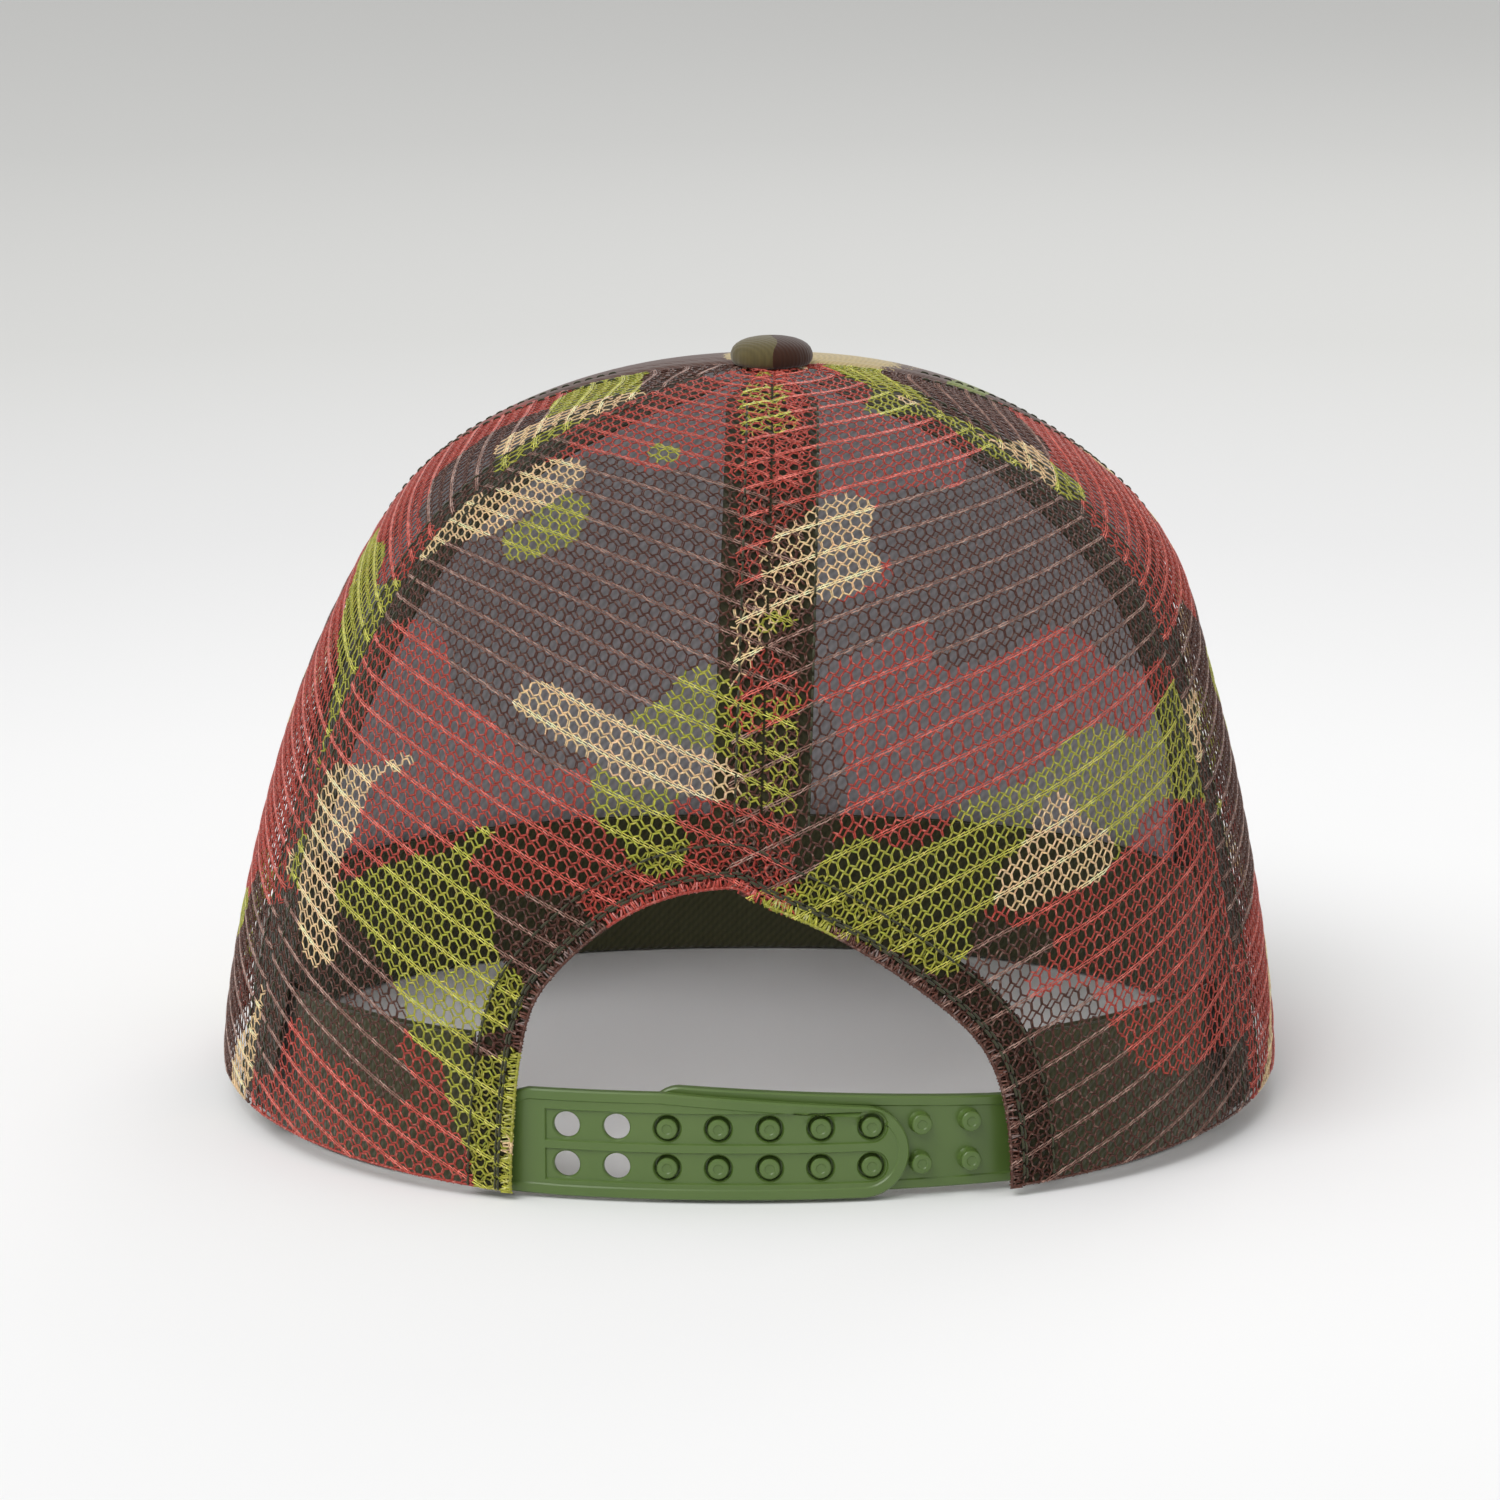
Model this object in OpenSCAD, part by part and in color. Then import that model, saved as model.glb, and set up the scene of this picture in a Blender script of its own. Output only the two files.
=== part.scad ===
// Trucker mesh cap: five-panel crown (one woven front panel, four net panels),
// covered button, curved fabric visor, sweatband and a snap closure of two straps.
// Frame: base plane at z = 0, +Z up, +Y towards the visor, X across the head, +X right.

/* [Crown] */
// Half width of the crown across the head at the rim
crown_half_width = 100; // [97:0.5:103]
// Half length of the crown from the middle to the back at the rim
crown_half_length = 100; // [98:0.5:102]
// Height of the crown's top above the base plane
crown_height = 136; // [128:1:142]
// Sideways lean of the crown's top
crown_lean = 4.5; // [-5:0.5:5]
// Squareness of the head opening's oval, 2 is an ellipse
squareness = 2.3; // [2.15:0.05:2.45]
// Rise of the rim at the sides above the back
rim_side = 5; // [3:0.5:6]
// Rise of the rim at the front above the back
rim_front = 8; // [6:0.5:9]
// Thickness of the net
net_thick = 0.7; // [0.5:0.1:0.8]

/* [Closure] */
// Spacing of the snap columns along the strap
snap_pitch = 9.05; // [8.8:0.05:9.2]
// Spacing of the two snap rows
snap_row_pitch = 7.2; // [6.8:0.1:7.6]
// Diameter of a snap peg
peg_diameter = 3.7; // [3.2:0.1:3.8]
// Diameter of a snap hole
hole_diameter = 4.9; // [4.8:0.1:5.1]
// Height of the hole strap at its sewn end
strap_height = 19.5; // [18.5:0.5:20]
// Hole columns left open at the sewn end, which sets the overlap of the straps
open_columns = 2; // [2:1:2]

/* [Visor] */
// Reach of the visor in front of the crown
visor_reach = 70; // [60:1:78]
// Drop of the visor from its middle to its side edges
visor_bend = 8; // [5:0.5:8]
// Thickness of the stiff board inside the visor
board_thick = 1.8; // [1.4:0.1:2.0]

/* [Sweatband] */
// Height of the sweatband
band_height = 28; // [24:1:29]

/* [Hidden] */
$fn = 64;
deg_per_rad = 180 / PI;

cloth_color = [0.34, 0.36, 0.17];
side_net_color = [0.40, 0.44, 0.18];
tape_color = [0.20, 0.21, 0.12];
thread_color = [0.17, 0.17, 0.09];
strap_color = [0.36, 0.47, 0.24];

// ---- crown surface ------------------------------------------------------
// angle goes round the head in degrees (0 back, 90 right, 180 front, negative left),
// rise runs from 0 at the rim to 1 at the crown's top. A place is [angle, rise].
apex_y = -2.5;
rim_back = 0.4;          // height of the rim at the back
taper_start = 25;        // height over which the taper sets in
top_taper = 110;         // taper length used near the top
eyelet_r = 2;            // hole at the crown's top for the button's shank

// mixes values for the sides, back and front of the head
function blend(angle, side, back, front) =
    side * pow(sin(angle), 2) + (cos(angle) > 0 ? back : front) * pow(cos(angle), 2);
function rim_radius(angle) =
    pow(pow(abs(sin(angle)) / crown_half_width, squareness)
        + pow(abs(cos(angle)) / crown_half_length, squareness), -1 / squareness);
// [x, y] on the head opening's oval, moved in by inset
function rim_at(angle, inset = 0) = (rim_radius(angle) - inset) * [sin(angle), -cos(angle)];
function rim_z(angle) = blend(angle, rim_side, 0, rim_front) + rim_back;
function taper(angle) = blend(angle, 0.0022, 0.0013, 0.0005);
function roundness(angle) = blend(angle, 5.0, 4.3, 5.5);
function bump(share, size, middle) = size * exp(-pow((share - middle) / 0.13, 2));
// the soft net stands out at the shoulders, higher on the left than on the right
function shoulder(angle, share) = pow(sin(angle), 2)
    * (sin(angle) < 0 ? bump(share, 0.060, 0.877) : bump(share, 0.050, 0.758));
function crown_at(angle, rise) =
    let (power = roundness(angle),
         slope = 90 * pow(rise, power / 2),
         share = pow(sin(slope), 2 / power),
         height = crown_height * share,
         radius = rim_radius(angle) * (1 - taper(angle) * height * height / (height + taper_start))
             * (1 + shoulder(angle, share)) * cos(slope),
         base = rim_z(angle))
    [radius * sin(angle) + crown_lean * pow(share, 1.5),
     -radius * cos(angle) + apex_y * share * share,
     base + (crown_height - base) * share];
function unit(v) = v / norm(v);
// outward normal, from short steps along the surface
function normal(angle, rise) =
    let (below = max(rise - 0.004, 0), above = min(rise + 0.004, 0.999))
    unit(cross(crown_at(angle + 0.4, rise) - crown_at(angle - 0.4, rise),
               crown_at(angle, above) - crown_at(angle, below)));
// point at a depth inside the crown's outer surface
function skin(place, depth) =
    crown_at(place[0], place[1]) - depth * normal(place[0], place[1]);
function rise_at_z(angle, z) =
    let (power = roundness(angle),
         share = min(max((z - rim_z(angle)) / (crown_height - rim_z(angle)), 0), 1))
    pow(asin(pow(share, power / 2)) / 90, 2 / power);
function rise_at_radius(angle, radius) =
    pow(acos(min(radius / (rim_radius(angle) * (1 - taper(angle) * top_taper)), 1)) / 90,
        2 / roundness(angle));
// distance from the axis through the crown's top
function radius_at(angle, rise) =
    let (spot = crown_at(angle, rise)) norm([spot[0] - crown_lean, spot[1] - apex_y]);
function angle_at_x(x) =
    atan2(x, crown_half_length
        * pow(1 - pow(min(abs(x) / crown_half_width, 1), squareness), 1 / squareness));

// rows that every panel, tape and seam thread shares, closer where the crown turns over
row_shares = [0, 0.09, 0.18, 0.27, 0.36, 0.44, 0.52, 0.59, 0.655, 0.715,
    0.77, 0.82, 0.865, 0.905, 0.94, 0.968, 1];
top_rise = rise_at_radius(90, eyelet_r);
rows = [for (share = row_shares) share * top_rise];
last_row = len(rows) - 1;

// ---- seams --------------------------------------------------------------
// each seam as [angle at the rim, angle at the crown's top], right side
back_seam = [0, 0];
side_seam = [64, 56];     // between rear and side net
front_seam = [121, 106];  // between side net and front panel
seam_gap = 0.12;          // nominal clearance beside a seam
gap_turn = 7;             // the same clearance in degrees at a radius of 1 mm, rounded up

function seam_angle(seam, rise) = seam[0] + (seam[1] - seam[0]) * rise;
function gap_angle(angle, rise) = gap_turn / max(radius_at(angle, rise), 2);
// place beside a seam, offset in mm round the head
function beside_seam(seam, rise, offset) =
    let (angle = seam_angle(seam, rise))
    [angle + offset * deg_per_rad / radius_at(angle, rise), rise];
// rows a seam's tape and thread follow, stopping short of the button
function seam_rows(start) = [for (j = [0:last_row - 2]) if (rows[j] >= start) rows[j]];

// ---- solids from points -------------------------------------------------
function quad(a, b, c, d) = [[a, b, c], [a, c, d]];

// closed shell between two grids of points
module shell(outer, inner) {
    last_i = len(outer) - 1;
    last_j = len(outer[0]) - 1;
    // point number, face 0 is the outer grid and 1 the inner
    function id(face, i, j) = (face * (last_i + 1) + i) * (last_j + 1) + j;
    faces = concat(
        [for (i = [0:last_i - 1]) for (j = [0:last_j - 1])
            each quad(id(0, i, j), id(0, i, j + 1), id(0, i + 1, j + 1), id(0, i + 1, j))],
        [for (i = [0:last_i - 1]) for (j = [0:last_j - 1])
            each quad(id(1, i, j), id(1, i + 1, j), id(1, i + 1, j + 1), id(1, i, j + 1))],
        [for (i = [0:last_i - 1]) each concat(
            quad(id(0, i, 0), id(0, i + 1, 0), id(1, i + 1, 0), id(1, i, 0)),
            quad(id(0, i, last_j), id(1, i, last_j), id(1, i + 1, last_j), id(0, i + 1, last_j)))],
        [for (j = [0:last_j - 1]) each concat(
            quad(id(0, 0, j), id(1, 0, j), id(1, 0, j + 1), id(0, 0, j + 1)),
            quad(id(0, last_i, j), id(0, last_i, j + 1), id(1, last_i, j + 1), id(1, last_i, j)))]);
    polyhedron(
        points = concat([for (line = outer) each line], [for (line = inner) each line]),
        faces = faces, convexity = 8);
}

// shell from a grid of places between two depths
module skin_shell(grid, outer_depth, inner_depth) {
    shell([for (line = grid) [for (place = line) skin(place, outer_depth)]],
          [for (line = grid) [for (place = line) skin(place, inner_depth)]]);
}

thread_width = 0.4;
thread_depth = -0.45;    // thread centre lines lie outside the crown's surface

// square bar of thread along a path of [point, outward normal]
module thread(path) {
    last = len(path) - 1;
    corners = [[-1, -1], [1, -1], [1, 1], [-1, 1]];
    points = [for (i = [0:last])
        let (along = unit(path[min(i + 1, last)][0] - path[max(i - 1, 0)][0]),
             out = path[i][1],
             across = unit(cross(along, out)))
        for (corner = corners)
            path[i][0] + (corner[0] * across + corner[1] * out) * thread_width / 2];
    end = 4 * last;
    faces = concat([[0, 1, 2, 3]], [[end + 3, end + 2, end + 1, end]],
        [for (i = [0:last - 1]) for (k = [0:3])
            let (a = 4 * i + k, b = 4 * i + (k + 1) % 4) each quad(a, a + 4, b + 4, b)]);
    polyhedron(points = points, faces = faces, convexity = 6);
}

module crown_thread(places) {
    thread([for (place = places) [skin(place, thread_depth), normal(place[0], place[1])]]);
}

// ---- rear opening's edge ------------------------------------------------
// side is -1 for left, 1 for right; the two halves of the arch differ
arch_half_width = 43;    // half width of the opening at the rim, left side
arch_right_extra = 3;    // the right half is wider by this
arch_top = 56.8;         // top of the left half
arch_min_z = 0.9;        // lowest height of the binding and its thread

function arch_edge(side) = side < 0 ? arch_half_width : arch_half_width + arch_right_extra;
// falls from 1 in the middle to 0 at the opening's side
function arch_fall(x, side, power, root) =
    pow(1 - pow(min(abs(x) / arch_edge(side), 1), power), root);
function arch_z(x, side) = side < 0
    ? (arch_top - 8.9 * pow(min(abs(x), arch_half_width) / 30, 2.75))
        * arch_fall(x, side, 40, 1 / 3)
    : (54 - 0.31 * abs(x) - 0.0074 * x * x) * arch_fall(x, side, 18, 0.364);
function arch_rise(angle, side) =
    let (x = rim_at(angle)[0])
    abs(x) >= arch_edge(side) - 0.01 ? 0 : rise_at_z(angle, arch_z(x, side));

// ---- crown panels -------------------------------------------------------
woven_thick = 0.7;
lining_depths = [1.2, 3.0];
lining_inset = 6.2;      // from the front seams to the lining's edges

module side_panel(side) {
    steps = 9;
    skin_shell([for (i = [0:steps]) [for (rise = rows)
        let (rear = seam_angle(side_seam, rise) + gap_angle(60, rise),
             fore = seam_angle(front_seam, rise) - gap_angle(110, rise))
        [(side > 0 ? rear : -fore) + (fore - rear) * i / steps, rise]]], 0, net_thick);
}

// columns from the centre back to the side seam, as shares of the seam's angle
rear_shares = [0, 0.06, 0.12, 0.18, 0.235, 0.285, 0.325, 0.355, 0.375, 0.386, 0.392,
    0.45, 0.54, 0.65, 0.77, 0.88, 1];
arch_share = 0.4;        // columns below this share cross the opening
share_half_width = 43.6; // half width of opening that rear_shares are spaced for

module rear_panel(side) {
    stretch = arch_edge(side) / share_half_width;
    shares = [for (share = rear_shares) share < arch_share ? share * stretch : share];
    ordered = side > 0 ? shares : [for (i = [len(shares) - 1:-1:0]) shares[i]];
    skin_shell([for (share = ordered)
        // foot of the column on the arch, found in two passes as the seam slants
        let (guess = arch_rise(share * side_seam[0], side),
             foot = arch_rise(share * seam_angle(side_seam, guess), side))
        [for (j = [0:last_row])
            let (rise = max(rows[j], foot + 0.0008 * j),
                 angle = gap_angle(20, rise)
                     + share * (seam_angle(side_seam, rise) - 2 * gap_angle(40, rise)))
            [side * angle, rise]]], 0, net_thick);
}

module front_sheet(outer_depth, inner_depth, inset, end_row) {
    steps = 18;
    skin_shell([for (i = [0:steps]) [for (j = [0:end_row])
        let (rise = rows[j],
             start = seam_angle(front_seam, rise) + gap_angle(110, rise) * (1 + inset / seam_gap))
        [start + (360 - 2 * start) * i / steps, rise]]], outer_depth, inner_depth);
}

module front_panel() { color(cloth_color) front_sheet(0, woven_thick, 0, last_row); }
module front_lining() {
    color([0.45, 0.44, 0.46])
        front_sheet(lining_depths[0], lining_depths[1], lining_inset, last_row - 2);
}
module mesh_rear_left() { color([0.45, 0.24, 0.20]) rear_panel(-1); }
module mesh_rear_right() { color([0.50, 0.28, 0.24]) rear_panel(1); }
module mesh_side_left() { color(side_net_color) side_panel(-1); }
module mesh_side_right() { color(side_net_color) side_panel(1); }

// ---- seam tapes, one behind each seam -----------------------------------
tape_width = 17;         // tape on the centre and side seams
front_tape_width = 11;   // tape on the front seams, between the lining's edges
tape_depth = net_thick + 0.45;
tape_thick = 0.55;
bind_width = 8.6;        // hem band round the rear opening
bind_thick = 0.5;

module seam_tape(seam, width, start = 0) {
    skin_shell([for (i = [-1:1]) [for (rise = seam_rows(start))
        beside_seam(seam, rise, width * i / 2)]], tape_depth, tape_depth + tape_thick);
}
module tape_center_back() {
    color(tape_color) seam_tape(back_seam, tape_width, rise_at_z(0, arch_top + bind_width + 2));
}
module tape_side_left() { color(tape_color) seam_tape(-side_seam, tape_width); }
module tape_side_right() { color(tape_color) seam_tape(side_seam, tape_width); }
module tape_front_left() { color(tape_color) seam_tape(-front_seam, front_tape_width); }
module tape_front_right() { color(tape_color) seam_tape(front_seam, front_tape_width); }

// ---- binding and stitching of the rear opening --------------------------
// half of the opening's edge as [x, z], from the rim up towards the middle
function arch_half(side) = let (edge = arch_edge(side)) concat(
    [for (z = [1.0, 6, 11]) [side * edge, z]],
    [for (share = [0.985, 0.96, 0.92, 0.86, 0.78, 0.68, 0.56, 0.43, 0.29, 0.15])
        [side * edge * share, arch_z(edge * share, side)]]);
arch_right = arch_half(1);
// up the left side, over and down the right
arch_line = concat(arch_half(-1), [[0, 54.2]],
    [for (i = [len(arch_right) - 1:-1:0]) arch_right[i]]);
// direction away from the opening
function arch_out(i) =
    let (along = unit(arch_line[min(i + 1, len(arch_line) - 1)] - arch_line[max(i - 1, 0)]))
    [-along[1], along[0]];
// places on the crown along the arch, offset away from the opening
function arch_places(offset) = [for (i = [0:len(arch_line) - 1])
    let (spot = arch_line[i] + offset * arch_out(i), angle = angle_at_x(spot[0]))
    [angle, rise_at_z(angle, max(spot[1], arch_min_z))]];

module arch_binding() {
    inner_edge = -0.3;
    color(tape_color + [0.02, 0.02, 0.01])
        skin_shell([for (offset = [bind_width, (inner_edge + bind_width) / 2, inner_edge])
            arch_places(offset)], tape_depth, tape_depth + bind_thick);
}
module arch_stitching() {
    color(thread_color) for (offset = [2.2, 7.6]) crown_thread(arch_places(offset));
}

// ---- seam stitching: two rows of thread beside each crown seam ----------
stitch_offset = 4.6;

module seam_thread(seam, offset, start = 0) {
    crown_thread([for (rise = seam_rows(start)) beside_seam(seam, rise, offset)]);
}
module seam_stitching() {
    color(thread_color) {
        for (offset = [-stitch_offset, 8.2])
            seam_thread(back_seam, offset, rise_at_z(0, arch_top + 11));
        for (side = [-1, 1], offset = [-stitch_offset, stitch_offset]) {
            seam_thread(side * side_seam, offset);
            seam_thread(side * front_seam, offset);
        }
    }
}

// ---- button: covered shell outside, rivet with a backing disc inside ----
// profiles are [radius, height above the crown's top]
cover_profile = [
    [5.4, 0.3], [6.9, 0.3], [7.4, 0.9], [7.6, 1.8], [7.3, 2.8], [6.3, 3.8],
    [4.6, 4.5], [2.4, 4.85], [0, 4.95], [0, 4.35], [2.3, 4.25], [4.3, 3.95],
    [5.9, 3.3], [6.75, 2.5], [6.95, 1.8], [6.85, 1.2], [6.6, 0.9], [5.4, 0.9]];
shell_profile = [
    [0, 1.0], [6.4, 1.0], [6.75, 1.8], [6.5, 2.5], [5.7, 3.2], [4.2, 3.85], [2.2, 4.15], [0, 4.25]];
shank_r = 1.15;

module at_top() { translate([crown_lean, apex_y, crown_height]) children(); }
module button_cover() {
    color([0.30, 0.29, 0.16]) at_top() rotate_extrude() polygon(cover_profile);
}
module button_shell() {
    color([0.75, 0.75, 0.76]) at_top() difference() {
        rotate_extrude() polygon(shell_profile);
        translate([0, 0, 0.5]) cylinder(r = shank_r + 0.1, h = 2.6);
    }
}
module button_rivet() {
    color([0.72, 0.72, 0.73]) at_top() union() {
        translate([0, 0, -2.1]) cylinder(r = 6, h = 0.7);
        translate([0, 0, -1.5]) cylinder(r = shank_r, h = 4.4);
    }
}

// ---- visor --------------------------------------------------------------
visor_half_angle = 58;   // half angle of the visor's root
visor_tip = rim_at(180 - visor_half_angle);
visor_front_y = crown_half_length + visor_reach;
visor_root_z = 12;       // top of the visor at the middle of its root
root_gap = 0.9;          // between the crown's rim and the visor
cover_thick = 0.6;
ply_gap = 0.15;          // between the board and each cover
board_top = -cover_thick - ply_gap;
under_top = board_top - board_thick - ply_gap;

function visor_z(spot) = visor_root_z - visor_bend * pow(spot[0] / visor_tip[0], 2)
    - 1.6 * (spot[1] - crown_half_length) / visor_reach;
// across runs from -1 at the left to 1 at the right
function visor_edge(across, inset) =
    let (side_y = visor_tip[1] + 1.5)
    [(visor_tip[0] + 3.2 - inset) * sin(90 * across),
     side_y + (visor_front_y - side_y - inset) * pow(max(cos(90 * across), 0), 0.88)];
// out runs from 0 at the crown to 1 at the visor's edge
function visor_xy(across, out, inset) =
    let (root = rim_at(180 - across * visor_half_angle, -root_gap - inset))
    root + (visor_edge(across, inset) - root) * out;

// top and bottom are heights from the visor's top surface
module visor_layer(top, bottom, inset) {
    across_steps = 26;
    out_steps = 7;
    function sheet(height) = [for (i = [0:across_steps])
        let (across = sin(90 * (2 * i / across_steps - 1)) * (1 - inset * 0.012))
        [for (j = [out_steps:-1:0])
            let (spot = visor_xy(across, j / out_steps, inset))
            [spot[0], spot[1], visor_z(spot) + height]]];
    shell(sheet(top), sheet(bottom));
}
module visor_top_cover() { color(cloth_color) visor_layer(0, -cover_thick, 0); }
module visor_board() {
    color([0.85, 0.85, 0.83]) visor_layer(board_top, board_top - board_thick, 1.2);
}
module visor_under_cover() { color(tape_color) visor_layer(under_top, under_top - cover_thick, 0); }
// rows of thread parallel to the visor's edge, kept clear of the crown
module visor_stitching() {
    steps = 30;
    color(thread_color) for (k = [0:5]) {
        inset = 5 + 7 * k;
        span = 1 - (inset + 6) / 190;
        thread([for (i = [0:steps])
            let (spot = visor_edge(span * (2 * i / steps - 1), inset))
            if (spot[1] > 0 && norm(spot) > rim_radius(atan2(spot[0], -spot[1])) + 2.5)
                [[spot[0], spot[1], visor_z(spot) + 0.3], [0, 0, 1]]]);
    }
}

// ---- sweatband: folded strip, open at the top, with a core strip inside --
band_end_angle = 31;     // where the band ends beside the rear opening
band_insets = [6.0, 8.4]; // outer and inner face, in from the rim's oval
band_wall = 0.55;
core_inset = band_wall + 0.15;

// strip round the head, thinned by trim on both faces
module band_plan(trim, end_angle) {
    steps = 90;
    function face(inset, order) = [for (i = order)
        rim_at(end_angle + (360 - 2 * end_angle) * i / steps, inset)];
    polygon(concat(face(band_insets[0] + trim, [0:steps]),
                   face(band_insets[1] - trim, [steps:-1:0])));
}
module sweatband() {
    color([0.27, 0.28, 0.18]) difference() {
        linear_extrude(band_height) band_plan(0, band_end_angle);
        translate([0, 0, 0.8]) linear_extrude(band_height) band_plan(band_wall, band_end_angle - 1);
    }
}
module sweatband_core() {
    color([0.88, 0.88, 0.86]) translate([0, 0, 0.9])
        linear_extrude(band_height - 1.6) band_plan(core_inset, band_end_angle + 0.3);
}

// ---- snap closure -------------------------------------------------------
strap_axis_y = 55.4;     // both straps curve round a vertical axis here, at x = 0
hole_inner_r = 150.0;    // inner face of the hole strap
hole_rim_r = 151.7;      // face of its rim
hole_floor_r = 151.1;    // floor of its two recessed channels
peg_inner_r = 147.7;     // inner face of the peg strap
peg_outer_r = 149.7;     // its outer face
hole_strap_z = 0.5;      // bottom of the hole strap
peg_strap_z = 1.2;       // bottom of the peg strap
peg_strap_top = 17.4;    // top of the peg strap at its sewn end
wall_top = 40;           // above both straps
snap_z = 9.8;            // midway between the snap rows
snap_rows = [snap_z - snap_row_pitch / 2, snap_z + snap_row_pitch / 2];
pitch_angle = snap_pitch / 151 * deg_per_rad;
first_column = -12.62;   // angle of the leftmost hole column
last_column = 6;         // each strap has columns 0 to 6
hole_hinge_x = 2.2 - arch_half_width;  // where the hole strap bends, at the left
peg_hinge_x = arch_half_width - 0.5;   // where the peg strap bends, at the right
hinge_gap = 0.15;

module arc_wall(inner_r, outer_r, bottom, top) {
    translate([0, strap_axis_y, bottom]) difference() {
        cylinder(r = outer_r, h = top - bottom, $fn = 180);
        translate([0, 0, -1]) cylinder(r = inner_r, h = top - bottom + 2, $fn = 180);
    }
}
// outline drawn in x and z, pushed through the back of the cap
module back_prism() { translate([0, -60, 0]) rotate([90, 0, 0]) linear_extrude(60) children(); }
module back_slice(left, right) {
    back_prism() polygon([[left, 0], [right, 0], [right, wall_top], [left, wall_top]]);
}
// cylinders pointing out from the strap axis, on both rows of seven columns
module snaps(first, inner_r, outer_r, diameter) {
    for (k = [first:first + last_column], z = snap_rows)
        translate([0, strap_axis_y, z]) rotate([0, 0, first_column + pitch_angle * k])
            rotate([90, 0, 0]) translate([0, 0, inner_r])
                cylinder(d = diameter, h = outer_r - inner_r, $fn = 48);
}
function arc(center, radii, angles) =
    [for (a = angles) center + [radii[0] * cos(a), radii[1] * sin(a)]];

module hole_outline() {
    radii = [8.2, 8.3];  // rounded right end
    end_x = 27.6 - radii[0];
    left = hole_hinge_x;
    top = hole_strap_z + strap_height;
    polygon(concat([[left, hole_strap_z], [end_x, hole_strap_z]],
        arc([end_x, hole_strap_z + radii[1]], radii, [-80:10:80]),
        [[end_x, hole_strap_z + 2 * radii[1]], [-16, top],
         [left + 3.6, top], [left + 1.4, top - 3], [left, top - 3]]));
}
module channel_outline(z) {
    half = 2.9;
    left = -36.6;
    end_x = 23.9 - half;
    polygon(concat([[left, z - half], [end_x, z - half]],
        arc([end_x, z], [half, half], [-75:15:75]), [[end_x, z + half], [left, z + half]]));
}
module hole_strap() {
    color(strap_color) difference() {
        intersection() {
            arc_wall(hole_inner_r, hole_rim_r, 0, wall_top);
            back_prism() hole_outline();
        }
        intersection() {
            arc_wall(hole_floor_r, hole_rim_r + 5, 0, wall_top);
            back_prism() for (z = snap_rows) channel_outline(z);
        }
        snaps(0, 145, 160, hole_diameter);
    }
}
module hole_strap_root() {
    color(strap_color) intersection() {
        arc_wall(hole_inner_r, hole_rim_r - 0.5, hole_strap_z, hole_strap_z + strap_height - 1);
        back_slice(hole_hinge_x - 6.5, hole_hinge_x - hinge_gap);
    }
}
module peg_outline() {
    radii = [7, 9.7];    // rounded left end
    end_x = radii[0] - 20.2;
    middle = peg_strap_z + radii[1];
    polygon(concat(
        [[peg_hinge_x, peg_strap_z], [peg_hinge_x, peg_strap_top]],
        arc([end_x, middle], radii, [90:15:270])));
}
module peg_strap() {
    color(strap_color) union() {
        intersection() {
            arc_wall(peg_inner_r, peg_outer_r, 0, wall_top);
            back_prism() peg_outline();
        }
        snaps(open_columns, peg_outer_r - 0.8, peg_outer_r + 2.0, peg_diameter);
    }
}
module peg_strap_root() {
    color(strap_color) intersection() {
        arc_wall(peg_inner_r + 0.1, peg_outer_r, peg_strap_z, peg_strap_top);
        back_slice(peg_hinge_x + hinge_gap, peg_hinge_x + 6);
    }
}

front_panel();
front_lining();
mesh_rear_left();
mesh_rear_right();
mesh_side_left();
mesh_side_right();
tape_center_back();
tape_side_left();
tape_side_right();
tape_front_left();
tape_front_right();
arch_binding();
seam_stitching();
arch_stitching();
button_cover();
button_shell();
button_rivet();
visor_board();
visor_top_cover();
visor_under_cover();
visor_stitching();
sweatband();
sweatband_core();
hole_strap_root();
hole_strap();
peg_strap_root();
peg_strap();
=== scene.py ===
"""A cap with a printed front panel, four open-net panels, a stitched visor and a snap closure.

It stands on z = 0 with its front and visor towards +Y and its rear opening towards -Y.
Pieces called left lie on -X. Shapes are worked out in mm and turned into metres in build().
"""

import bmesh
import bpy
import math
import numpy as np
from mathutils import Matrix, Vector
from mathutils.geometry import delaunay_2d_cdt


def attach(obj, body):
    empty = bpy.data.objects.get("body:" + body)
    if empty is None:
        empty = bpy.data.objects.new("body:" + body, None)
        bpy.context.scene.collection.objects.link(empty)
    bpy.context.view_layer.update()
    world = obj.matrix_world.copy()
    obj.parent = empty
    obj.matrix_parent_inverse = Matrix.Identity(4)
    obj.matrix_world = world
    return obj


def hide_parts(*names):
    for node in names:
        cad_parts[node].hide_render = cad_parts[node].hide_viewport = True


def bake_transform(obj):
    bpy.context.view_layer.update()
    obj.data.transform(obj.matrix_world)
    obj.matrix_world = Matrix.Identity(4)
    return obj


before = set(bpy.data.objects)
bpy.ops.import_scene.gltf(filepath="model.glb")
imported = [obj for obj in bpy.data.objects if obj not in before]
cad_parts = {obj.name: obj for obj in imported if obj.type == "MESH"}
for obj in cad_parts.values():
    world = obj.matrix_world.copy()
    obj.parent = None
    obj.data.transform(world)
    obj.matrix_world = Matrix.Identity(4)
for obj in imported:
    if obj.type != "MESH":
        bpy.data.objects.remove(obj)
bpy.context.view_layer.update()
STITCH_RANDOM = np.random.RandomState(11)

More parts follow.
